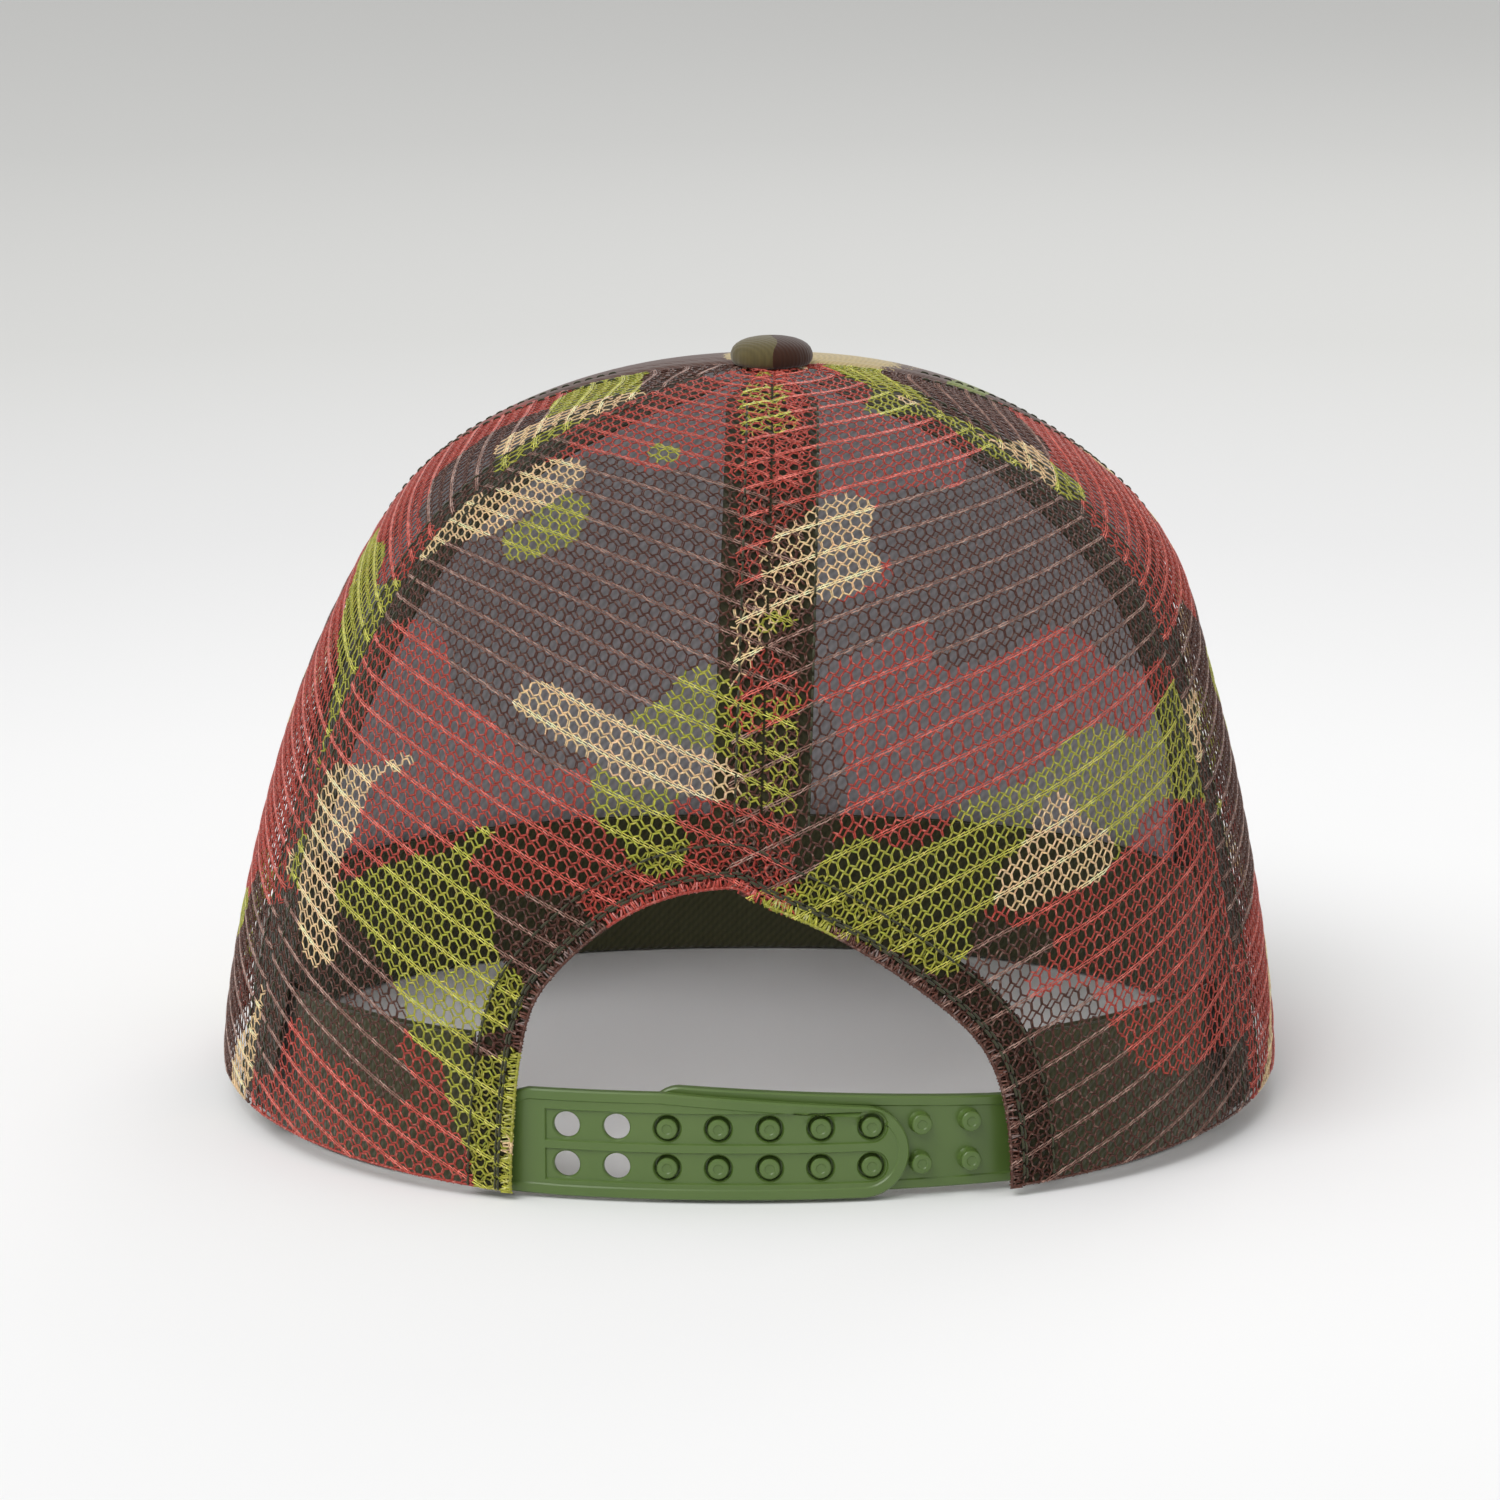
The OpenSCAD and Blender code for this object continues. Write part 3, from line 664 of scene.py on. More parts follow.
def stitches(path, normals, length=2.5, fill=0.74, width=0.42, height=0.36, sink=0.42):
    """Separate rounded stitches along a path, with their ends pulled into the cloth."""
    substeps, sides = 8, 6
    path, normals = resample(path, normals, length / substeps)
    count = (len(path) - 1) // substeps
    share, thickness, drop = STITCH_PROFILE.T
    start = np.arange(count)[:, None] * substeps + (1 - fill) / 2 * substeps
    place = start + share[None] * fill * substeps
    low = np.clip(np.floor(place).astype(int), 0, len(path) - 2)
    part = (place - low)[..., None]
    centres = path[low] * (1 - part) + path[low + 1] * part
    up = unit(normals[low] * (1 - part) + normals[low + 1] * part)
    along = unit(centres[:, -1] - centres[:, 0])[:, None]
    yaw = STITCH_RANDOM.uniform(-0.05, 0.05, count)[:, None, None]
    across = unit(np.cross(along, up))
    centres = (centres - up * (drop * sink)[None, :, None]
               + across * yaw * (share - 0.5)[None, :, None] * 2.0)
    ring = ring_angles(sides)[None, None, :, None]
    offset = (across[:, :, None] * np.cos(ring) * width / 2
              + up[:, :, None] * np.sin(ring) * height / 2) * thickness[None, :, None, None]
    return (centres[:, :, None] + offset).reshape(-1, 3), prism_faces(count, len(share), sides)


def build_thread(piece, runs):
    points, faces = merge(runs)
    build(piece, "thread", points, faces, "olive_thread")


# ------------------------------------------------------------------ open net
# Rows of oval cells in pairs: a narrow gap of two cords lying together, then a wider gap
# crossed by pairs of thin threads.
PITCH, GAP_NARROW, GAP_WIDE, TIP, SHOULDER = 2.15, 2.6, 3.2, 1.31, 0.62
SLANT, THREAD, UPRIGHT = 0, 1, 2
# kind, width, height, sides, lengthening at each end
CORDS = [(SLANT, 0.36, 0.29, 4, 0.10), (UPRIGHT, 0.33, 0.3, 3, 0.10), (THREAD, 0.25, 0.2, 3, 0.04)]
EDGE_DEPTH = 0.36  # of the cords along the rim and the opening


class Chart:
    """Flat cloth laid on the crown about a centre angle: x along it and y up it, in mm."""

    def __init__(self, centre, low, high, bend=0.55):
        self.centre, self.bend = centre, bend
        self.angles = np.linspace(low - 14, high + 14, 61)
        rises = np.concatenate([np.linspace(0, 0.9, 300), np.linspace(0.902, 1, 90)])
        steps = np.diff(crown(self.angles[:, None], rises[None]), axis=1)
        arcs = np.concatenate([np.zeros((61, 1)), np.cumsum(np.linalg.norm(steps, axis=-1), 1)], 1)
        self.arcs = np.linspace(0, float(arcs[:, -1].max()), 260)
        self.rises = np.stack([np.interp(self.arcs, arc, rises) for arc in arcs])
        self.radii = np.stack([np.interp(self.arcs, arc, np.maximum(axis_radius(angle, rises), 0.8))
                               for angle, arc in zip(self.angles, arcs)])
        middle = crown_normal((low + high) / 2, self.rises[30])
        self.flatness = np.clip(middle[:, 2], 0, 1)

    def look(self, table, angle, arc):
        """A table's value between its angles and arc lengths."""
        row = np.clip((angle - self.angles[0]) / (self.angles[1] - self.angles[0]), 0, 59.999)
        column = np.clip(arc / (self.arcs[1] - self.arcs[0]), 0, 258.999)
        i, j = np.floor(row).astype(int), np.floor(column).astype(int)
        x, y = row - i, column - j
        return (table[i, j] * (1 - x) * (1 - y) + table[i + 1, j] * x * (1 - y)
                + table[i, j + 1] * (1 - x) * y + table[i + 1, j + 1] * x * y)

    def place(self, x, y):
        """Angle, rise and arc length up from the rim of places on the cloth."""
        arc, angle = y.copy(), np.full_like(y, self.centre)
        for _ in range(7):
            radius = self.look(self.radii, angle, arc)
            wanted = np.clip(self.centre + np.degrees(x / np.maximum(radius, 3)),
                             self.angles[0], self.angles[-1])
            angle = 0.3 * angle + 0.7 * wanted
            flat = np.interp(arc, self.arcs, self.flatness)
            arc = y - 0.5 * self.bend * np.minimum(x * x / np.maximum(radius, 18), 80) * flat
        return angle, self.look(self.rises, angle, np.maximum(arc, 0)), arc


def waver(x, y, seed):
    """The cloth's slow irregularity, the same wherever two cords meet."""
    shift_x = (0.05 * np.sin(x * 1.9 + 3 * np.sin(y * 0.31))
               + 0.55 * np.sin(y * 0.11 + x * 0.05 + seed)
               + 0.07 * np.sin(x * 12.9898 + y * 78.233))
    shift_y = 0.45 * np.sin(x * 0.09 + seed * 2) + 0.06 * np.sin(x * 39.3 + y * 11.1)
    return x + shift_x, y + shift_y


def net_segments(tilt, window, shift, seed, stretch):
    """Flat net as segments (x, y, x, y in cloth mm) and their kinds."""
    x_low, x_high, y_low, y_high = window
    pitch, narrow, wide = PITCH / math.sqrt(stretch), GAP_NARROW * stretch, GAP_WIDE * stretch
    tip, shoulder, half, lean = TIP * stretch, SHOULDER * stretch, pitch / 2 - 0.10, 0.20
    reach = math.hypot(max(abs(x_low), abs(x_high)), max(abs(y_low), abs(y_high))) + 6
    pair = wide + narrow
    pairs = np.arange(-int(reach / pair) - 2, int(reach / pair) + 2)
    columns = np.arange(-int(reach / pitch) - 1, int(reach / pitch) + 2)
    i, j = np.meshgrid(pairs, columns, indexing="ij")
    groups, kinds = [], []

    def add(x_start, y_start, x_end, y_end, kind):
        ends = [*waver(x_start, y_start, seed), *waver(x_end, y_end, seed)]
        groups.append(np.stack(ends, -1).reshape(-1, 4))
        kinds.append(np.full(len(groups[-1]), kind))

    cell = [(half, -shoulder), (half, shoulder), (0, tip), (-half, shoulder), (-half, -shoulder),
            (0, -tip)]
    cell = [(x + lean * y, y) for x, y in cell]
    for row in (0, 1):
        x, y = j * pitch + row * pitch / 2, i * pair + row * narrow
        for k in range(6):
            start, end = cell[k], cell[(k + 1) % 6]
            add(x + start[0], y + start[1], x + end[0], y + end[1],
                UPRIGHT if k in (0, 3) else SLANT)
    y = i * pair + narrow + wide / 2
    for offset in (0.0, pitch / 2):
        for k in (-0.20, 0.20):
            x = j * pitch + offset
            add(x - 0.64, y + k - 0.10, x + 0.64, y + k + 0.10, THREAD)
    flat = np.concatenate(groups) + np.array([*shift, *shift])
    c, s = cosd(tilt), sind(tilt)
    x, y = flat[:, ::2], flat[:, 1::2]
    turned = np.stack([x * c - y * s, x * s + y * c], -1).reshape(-1, 4)
    kept = ((turned[:, 0] > x_low) & (turned[:, 0] < x_high)
            & (turned[:, 1] > y_low) & (turned[:, 1] < y_high))
    return turned[kept], np.concatenate(kinds)[kept]


def clip_segments(segments, kinds, inside):
    """Keeps the part of every segment where inside(x, y) > 0."""
    start_in = inside(segments[:, 0], segments[:, 1]) > 0
    end_in = inside(segments[:, 2], segments[:, 3]) > 0
    whole, crossing = start_in & end_in, start_in != end_in
    cut, leaving = segments[crossing].copy(), start_in[crossing]
    cut[~leaving] = cut[~leaving][:, [2, 3, 0, 1]]
    low, high = np.zeros(len(cut)), np.ones(len(cut))
    for _ in range(7):
        middle = (low + high) / 2
        margin = inside(cut[:, 0] + (cut[:, 2] - cut[:, 0]) * middle,
                        cut[:, 1] + (cut[:, 3] - cut[:, 1]) * middle)
        low, high = np.where(margin > 0, middle, low), np.where(margin > 0, high, middle)
    cut[:, 2:] = cut[:, :2] + (cut[:, 2:] - cut[:, :2]) * low[:, None]
    long = np.hypot(*(cut[:, 2:] - cut[:, :2]).T) > 0.18
    return (np.concatenate([segments[whole], cut[long]]),
            np.concatenate([kinds[whole], kinds[crossing][long]]))


def cord_colours(colour, kinds, folded, seed):
    """Print colours varied from cord to cord. Dark cloth gets deeper cords and paler thin threads,
    so its net still reads as threads. The paler thin threads are painted highlights, and a random
    share of them get painted glints on top."""
    random = np.random.RandomState(seed)
    count = len(colour)
    colour = (colour * (1 + random.normal(0, 0.09, (count, 1)))
              * (1 + random.normal(0, 0.03, (count, 3))))
    thin = kinds == THREAD
    # a random share of the thin threads get painted glints: their colour is made paler still
    painted_glints = thin & (random.rand(count) < 0.30)
    dark = np.exp(-(colour @ np.array([0.2126, 0.7152, 0.0722])) / 0.045)[:, None]
    colour[~thin] *= (0.94 - 0.52 * dark)[~thin]
    # which cords, gain, colour added on dark cloth, colour added everywhere: painted highlights
    # that make the thin threads paler
    for chosen, gain, on_dark, added in (
            (thin, 1.3, (0.26, 0.195, 0.165), (0.035, 0.026, 0.022)),
            (painted_glints, 1.25, (0.30, 0.245, 0.215), (0.07, 0.058, 0.05))):
        colour[chosen] = (colour[chosen] * gain + dark[chosen] * np.array(on_dark)
                          + np.array(added))
    colour[folded] *= 0.78
    return np.clip(colour, 0.004, 0.95)


def net_panel(chart, side, tilt, seams, window, cloth_shift, at_arch, seed, stretch):
    """One net panel between two seams, mirrored by side: points, faces, colours and chart.
    At the opening its edge is folded under as a second layer."""

    def where(x, y):
        angle, rise, arc = chart.place(x, y)
        return side * angle, rise, arc

    def seam_distance(angle, rise):
        size = np.abs(angle)
        radius = np.maximum(axis_radius(angle, rise), 1)
        return np.minimum((size - lerp(seams[0], rise)) * DEGREE * radius,
                          (lerp(seams[1], rise) - size) * DEGREE * radius)

    def margins(x, y):
        angle, rise, arc = where(x, y)
        arch = arch_distance(crown(angle, rise)) if at_arch else np.full(len(angle), 99.0)
        return seam_distance(angle, rise), arch, axis_radius(angle, rise), arc

    def in_panel(x, y):
        seam, arch, radius, arc = margins(x, y)
        return np.minimum.reduce([seam - 0.3, arch, radius - 2.6, arc - 0.15])

    def in_fold(x, y):
        seam, arch, radius, arc = margins(x, y)
        return np.minimum.reduce([seam - 0.3, arch - 0.3, radius - 7, arc - 0.3,
                                  BINDING_WIDTH + 0.2 - arch])

    segments, kinds = clip_segments(
        *net_segments(tilt, window, (0.3, 0.2), seed, stretch), in_panel)
    fold, fold_kinds = net_segments(-tilt * 0.6, window, (0.9, 0.7), seed + 5, stretch)
    cords = fold_kinds != THREAD
    fold, fold_kinds = clip_segments(fold[cords], fold_kinds[cords], in_fold)
    folded = np.arange(len(segments) + len(fold)) >= len(segments)
    segments, kinds = np.concatenate([segments, fold]), np.concatenate([kinds, fold_kinds])
    colour = print_colour(side * ((segments[:, 0] + segments[:, 2]) / 2),
                          (segments[:, 1] + segments[:, 3]) / 2, cloth_shift)
    colour = cord_colours(colour, kinds, folded, seed + 50)
    depth = np.where(kinds == THREAD, 0.10, 0.27) + np.where(folded, 0.42, 0.0)
    ends, normals = [], []
    for i in (0, 2):
        angle, rise, _ = where(segments[:, i], segments[:, i + 1])
        # the cut edges at the seams turn down
        turn_down = 0.45 * np.exp(-(seam_distance(angle, rise) / 0.7) ** 2)
        ends.append(under(angle, rise, depth + turn_down))
        normals.append(crown_normal(angle, rise))
    normals = unit(normals[0] + normals[1])
    items, colours, places = [], [], []
    for kind, width, height, sides, grow in CORDS:
        own = kinds == kind
        items.append(tubes(ends[0][own], ends[1][own], normals[own], width, height, sides, grow))
        colours.append(np.repeat(colour[own], 2 * sides, 0))
        start, end = segments[own][:, :2], segments[own][:, 2:]
        along = unit(end - start)
        across = np.stack([-along[:, 1], along[:, 0]], -1)
        offset = across[:, None] * (np.cos(ring_angles(sides)) * width / 2)[None, :, None]
        corners = np.concatenate([start[:, None] + offset, end[:, None] + offset], 1)
        places.append(corners.reshape(-1, 2))
    return *merge(items), np.concatenate(colours), np.concatenate(places)


def edge_cord(path, normals, colours, width, height=0.62):
    """Joined short prisms along an edge, each in the cloth's colour there."""
    points, faces = tubes(path[:-1], path[1:], unit(normals[1:] + normals[:-1]), width, height,
                          sides=6, grow=0.06)
    return points, faces, np.repeat(colours, 12, 0)


def rim_cord(side, start, end, centre, cloth_shift):
    """Cord along the rim between two angles; centre is the panel's chart centre."""
    angles = np.linspace(start, end, 60) * side
    along = (angles[1:] - side * centre) * 1.7
    return edge_cord(under(angles, 0.002, EDGE_DEPTH), crown_normal(angles, 0.002),
                     print_colour(along, 0 * along, cloth_shift) * 0.8, width=0.5)


def arch_cord(on_side, cloth_shift):
    """Cord along one side of the rear opening."""
    edge = ARCH[on_side] + ARCH_OUT[on_side] * 0.12
    middle = (edge[1:] + edge[:-1]) / 2
    return edge_cord(at_back(edge[:, 0], np.maximum(edge[:, 1], 0.6), EDGE_DEPTH),
                     back_normal(edge[:, 0], edge[:, 1]),
                     print_colour(middle[:, 0], middle[:, 1], cloth_shift) * 0.8, width=0.55)


def edge_loops(on_side, cloth_shift, seed):
    """Short uneven threads that wrap round the net's edge at the rear opening."""
    random = np.random.RandomState(seed)
    edge, outward = ARCH[on_side], ARCH_OUT[on_side]
    along = np.stack([outward[:, 1], -outward[:, 0]], -1)
    edge = np.concatenate([edge, edge + along * 0.5])
    outward, along = np.tile(outward, (2, 1)), np.tile(along, (2, 1))
    count = len(edge)

    def draw(low, high):
        return random.uniform(low, high, (count, 1))

    bends = []
    # direction from the edge, least and greatest reach, drift along it, depth
    for sign, low, high, drift, depth in ((1, 1.3, 1.9, 0.7, 0.10), (-1, 0.0, 0.22, 0.2, 0.42),
                                          (1, 1.1, 1.7, 0.7, 0.92)):
        place = edge + sign * outward * draw(low, high) + along * draw(-drift, drift)
        bends.append(at_back(place[:, 0], np.maximum(place[:, 1], 0.5), depth))
    normals = back_normal(edge[:, 0], edge[:, 1])
    colour = print_colour(edge[:, 0], edge[:, 1], cloth_shift) * draw(0.6, 1.3)
    colour[random.rand(count) < 0.25] += 0.12
    points, faces = tubes(np.concatenate(bends[:2]), np.concatenate(bends[1:]),
                          np.tile(normals, (2, 1)), width=0.30, height=0.28, sides=6, grow=0.06)
    colour = np.clip(np.concatenate([colour, colour * 0.8]), 0, 0.9)
    return points, faces, np.repeat(colour, 12, 0)


def strip_chart(count, row):
    """Places on the cloth chart, below the net, for a row of short 12-corner prisms."""
    i, j = np.meshgrid(np.arange(count // 12), np.arange(12), indexing="ij")
    return np.stack([(i % 90) * 1.2 + 0.8 * (j % 2),
                     -9 - 2.0 * (row + i // 90) - 0.8 * (j // 6)], -1).reshape(-1, 2)


def build_net(piece, net, strips):
    points, faces = merge([net[:2]] + [strip[:2] for strip in strips])
    charts = [strip_chart(len(strip[2]), row) for row, strip in enumerate(strips)]
    build(piece, "net", points, faces, "net_cord",
          colours=np.concatenate([net[2]] + [strip[2] for strip in strips]),
          chart=np.concatenate([net[3]] + charts))


REAR_CHART, SIDE_CHART = Chart(0.0, 0.0, 66.0), Chart(90.0, 56.0, 122.0)


def rear_net(side, tag, cloth_shift, seed, stretch):
    net = net_panel(REAR_CHART, side, tilt=24.0, seams=(SEAM_BACK, SEAM_SIDE),
                    window=(-6, 112, -4, 222), cloth_shift=cloth_shift, at_arch=True, seed=seed,
                    stretch=stretch)
    on_side = ARCH[:, 0] * side > 0.15
    build_net("mesh_rear_" + tag, net, [
        arch_cord(on_side, cloth_shift),
        rim_cord(side, angle_at_x(arch_edge(side)), 63.5, REAR_CHART.centre, cloth_shift),
        edge_loops(on_side, cloth_shift, seed + 70)])


def side_net(side, tag, cloth_shift, seed):
    net = net_panel(SIDE_CHART, side, tilt=10.0, seams=(SEAM_SIDE, SEAM_FRONT),
                    window=(-66, 66, -4, 222), cloth_shift=cloth_shift, at_arch=False,
                    seed=seed + 20, stretch=1.0)
    build_net("mesh_side_" + tag, net,
              [rim_cord(side, 64.5, 120.5, SIDE_CHART.centre, cloth_shift)])


rear_net(-1, "left", cloth_shift=(181, -783), seed=3, stretch=1.0)
side_net(-1, "left", cloth_shift=(-283, 12), seed=3)
rear_net(1, "right", cloth_shift=(-212, -698), seed=8, stretch=1.14)
side_net(1, "right", cloth_shift=(-752, 153), seed=8)


# ------------------------------------------------------------------ front panel and its lining
def front_shell(inset, outer_depth, inner_depth, rises, shares, roll_depth):
    """Shell between the two front seams, and its places on the cloth. The roll is the dip of
    the cloth into the seam and along the stitches beside it."""
    rise, share = np.meshgrid(rises, shares)
    seam = lerp(SEAM_FRONT, rise)
    radius = np.maximum(axis_radius(seam, rise), 2.0)
    gap = np.degrees((0.12 + inset) / radius)
    start, end = seam + gap, 360 - seam - gap
    angle = start + (end - start) * share
    distance = np.minimum(angle - seam, 360 - seam - angle) * DEGREE * radius
    roll = roll_depth * (0.45 * np.exp(-(distance / 0.9) ** 2)
                         + 0.28 * np.exp(-((distance - 4.6) / 0.8) ** 2))
    cloth = np.stack([(angle - 180) * DEGREE * radius, rise * SEAM_CLOTH], -1).reshape(-1, 2)
    points, faces = shell(under(angle, rise, outer_depth + roll),
                          under(angle, rise, inner_depth + roll * 0.3))
    return points, faces, np.concatenate([cloth, cloth])


def front_panel():
    rises = np.concatenate([[0, 0.004, 0.012], np.linspace(0.03, 0.97, 92) * RISE_TOP,
                            [0.985 * RISE_TOP, RISE_TOP]])
    shares = np.concatenate([[0, 0.004, 0.010, 0.018], np.linspace(0.03, 0.97, 120),
                             [0.982, 0.990, 0.996, 1]])
    points, faces, cloth = front_shell(inset=0.0, outer_depth=0.0, inner_depth=0.7, rises=rises,
                                       shares=shares, roll_depth=1.0)
    tidy(build("front_panel", "twill", points, faces, "printed_twill",
               weave=cloth, patches=layers(cloth[:, 0] + 520, cloth[:, 1] + 140)), 50)


def front_lining():
    points, faces, cloth = front_shell(inset=6.2, outer_depth=1.2, inner_depth=2.9,
                                       rises=np.linspace(0.012, 0.93, 60) * RISE_TOP,
                                       shares=np.linspace(0, 1, 90), roll_depth=0.0)
    tidy(build("front_lining", "knit", points, faces, "grey_knit", weave=cloth), 50)


front_panel()
front_lining()

# ------------------------------------------------------------------ seam tapes and hem band
SEAM_END = 0.905 * RISE_TOP
TAPE_ACROSS = np.array([-5.5, -5.3, -4.2, -2.6, -0.9, 0, 0.9, 2.6, 4.2, 5.3, 5.5])
# distance of the band's stations from the opening's edge
HEM_ACROSS = np.array([0.45, 0.55, 0.8, 1.5, 2.2, 3.2, 5.5, 7.2, 7.6, 8.2, 8.5])


def seam_tape(piece, side, seam, first_rise=0.004, half_width=5.5):
    rises = np.concatenate([np.linspace(first_rise, SEAM_END, 90),
                            np.linspace(0.908, 0.962, 14) * RISE_TOP])
    rise, across = np.meshgrid(rises, TAPE_ACROSS * half_width / 5.5)
    centre = side * lerp(seam, rise)
    # narrows near the apex
    across = across * np.minimum(1, 0.36 * np.maximum(axis_radius(centre, rise), 3) / half_width)
    angle = beside(centre, rise, across)
    depth = (1.17 + 0.10 * (np.abs(across) / half_width) ** 4
             - 0.02 * np.cos(rise * 160 * 2 * np.pi / 2.8))
    points, faces = shell(under(angle, rise, depth), under(angle, rise, 1.66))
    cloth = np.stack([across, rise * SEAM_CLOTH], -1).reshape(-1, 2)
    tidy(build(piece, "strip", points, faces, "olive_tape",
               weave=np.concatenate([cloth, cloth])), 50)


def hem_band():
    """Band round the rear opening, sunk a little along its stitching."""
    across = HEM_ACROSS[:, None]
    place = ARCH[None] + across[..., None] * ARCH_OUT[None]
    x, z = place[..., 0], np.maximum(place[..., 1], EDGE_FLOOR)
    depth = (1.18 + 0.08 * np.exp(-((across - 2.2) / 0.5) ** 2)
             + 0.08 * np.exp(-((across - 7.6) / 0.5) ** 2))
    points, faces = shell(at_back(x, z, depth), at_back(x, z, 1.65))
    cloth = np.stack(np.broadcast_arrays(across, np.arange(len(ARCH))[None]), -1).reshape(-1, 2)
    tidy(build("arch_binding", "tape", points, faces, "olive_tape",
               weave=np.concatenate([cloth, cloth])), 50)


seam_tape("tape_center_back", 1, SEAM_BACK, float(rise_at_z(0.0, 67.4)), half_width=8.5)
for side, tag in ((-1, "left"), (1, "right")):
    seam_tape("tape_side_" + tag, side, SEAM_SIDE, half_width=8.5)
    seam_tape("tape_front_" + tag, side, SEAM_FRONT)
hem_band()

# ------------------------------------------------------------------ sewing thread
THREAD_DEPTH = -0.10  # just above the surface


def seam_run(side, seam, offset, first_rise=0.004):
    """Stitches along a seam, some mm to one side of it."""
    rise = np.linspace(first_rise, SEAM_END, 160)
    angle = beside(side * lerp(seam, rise), rise, offset)
    return stitches(under(angle, rise, THREAD_DEPTH), crown_normal(angle, rise))


def seam_thread():
    runs = []
    # offset from the side and front seams, offset from the back seam
    for offset, back_offset in ((-4.6, -4.6), (4.6, 8.2)):
        runs.append(seam_run(1, SEAM_BACK, back_offset, float(rise_at_z(0.0, 67.0))))
        for side in (-1, 1):
            runs.append(seam_run(side, SEAM_SIDE, offset))
            runs.append(seam_run(side, SEAM_FRONT, offset))
    build_thread("seam_stitching", runs)


def arch_thread():
    runs = []
    # distance from the opening's edge, thread width
    for offset, width in ((2.2, 0.5), (2.75, 0.42), (7.6, 0.42)):
        line = ARCH + offset * ARCH_OUT
        x, z = line[:, 0], np.maximum(line[:, 1], EDGE_FLOOR)
        runs.append(stitches(at_back(x, z, THREAD_DEPTH), back_normal(x, z), length=2.4,
                             fill=0.86, width=width))
    build_thread("arch_stitching", runs)


seam_thread()
arch_thread()

# ------------------------------------------------------------------ button
# The cloth cover's outside and inside, as radius and height above the apex.
BUTTON_OUTSIDE = np.array([
    (5.3, 0.95), (5.3, -0.6), (6.3, -0.75), (7.0, -0.8), (7.42, -0.3), (7.6, 0.7), (7.66, 1.4),
    (7.58, 2.0), (7.25, 2.85), (6.7, 3.45), (5.9, 3.95), (4.9, 4.35), (3.6, 4.65), (2.2, 4.85),
    (1.0, 4.93), (0.05, 4.95)])
BUTTON_INSIDE = np.array([
    (5.45, 0.95), (6.5, 0.95), (6.85, 1.3), (6.95, 1.8), (6.7, 2.55), (5.85, 3.32), (4.2, 3.97),
    (2.3, 4.27), (0.05, 4.36)])
BUTTON_SIDES = 96


def crown_fall(turn):
    """Height of the crown under the button's edge, from the apex, at each turn from +X."""
    rises = np.linspace(0.8, 0.999, 120)
    angles = np.degrees(np.arctan2(np.cos(turn), -np.sin(turn)))
    return np.array([np.interp(-7.2, -axis_radius(angle, rises),
                               crown(angle, rises)[:, 2] - CROWN_HEIGHT)
                     for angle in angles]) + 0.05


def button_turn(profile, wrinkle):
    """Rings of points for a profile; its outer bottom edge follows the crown."""
    turn = ring_angles(BUTTON_SIDES)
    radius, height = profile[:, 0][:, None], profile[:, 1][:, None]
    waves = 0.5 * np.sin(turn * 13 + 0.6) + 0.35 * np.sin(turn * 23 + 1.7) + 0.3 * np.sin(turn * 7)
    pleats = wrinkle * np.exp(-((height - 1.2) / 1.3) ** 2) * waves
    low = np.clip((0.8 - height) / 1.2, 0, 1) * (radius > 5.9)
    wavy = radius + pleats * (radius > 5)
    return np.stack([wavy * np.cos(turn) + APEX_X, wavy * np.sin(turn) + APEX_Y,
                     height + low * (crown_fall(turn) + 0.8) + CROWN_HEIGHT], -1)


def button_cover():
    rings = np.concatenate([button_turn(BUTTON_OUTSIDE, wrinkle=0.10),
                            button_turn(BUTTON_INSIDE[::-1], wrinkle=0.0)])
    points = rings.reshape(-1, 3)
    x, y = points[:, 0], points[:, 1]
    none = np.full(len(points), -1.0)
    green = -0.9 * (x - 5.0) + 0.5 * np.sin(y * 0.7)
    tidy(build("button_cover", "cloth", points, [turned_faces(len(rings), BUTTON_SIDES, True)],
               "button_twill", weave=points[:, :2], patches=[none, green, none]))


button_cover()

# ------------------------------------------------------------------ visor
VISOR_ANGLE, VISOR_BEND, VISOR_REACH, VISOR_THICKNESS = 58.0, 8.0, 70.0, 3.3
TIP_X = float(plan_radius(180 - VISOR_ANGLE) * sind(VISOR_ANGLE))
TIP_Y = float(plan_radius(180 - VISOR_ANGLE) * cosd(VISOR_ANGLE))
VISOR_FRONT = HALF_LENGTH + VISOR_REACH
STITCH_ROWS = [5 + 7 * k for k in range(6)]  # distance from the visor's edge
VISOR_SHARES = sind(np.linspace(-90, 90, 180)) * 0.9995


def visor_z(x, y):
    return 12 - VISOR_BEND * (x / TIP_X) ** 2 - 1.6 * (y - HALF_LENGTH) / VISOR_REACH


def visor_edge(share, inset=0.0):
    """The outer edge from tip to tip as share runs from -1 to 1, moved in by inset."""
    deep = VISOR_FRONT - TIP_Y - 1.5 - inset
    return np.stack([(TIP_X + 3.2 - inset) * sind(90 * share),
                     TIP_Y + 1.5 + deep * np.maximum(cosd(90 * share), 0) ** 0.88], -1)


def visor_xy(share, outward):
    """Places between the crown (outward 0) and the outer edge (outward 1)."""
    angle = 180 - share * VISOR_ANGLE
    radius = plan_radius(angle) + 0.9
    root = np.stack([radius * sind(angle), -radius * cosd(angle)], -1)
    return root + (visor_edge(share) - root) * np.asarray(outward)[..., None]


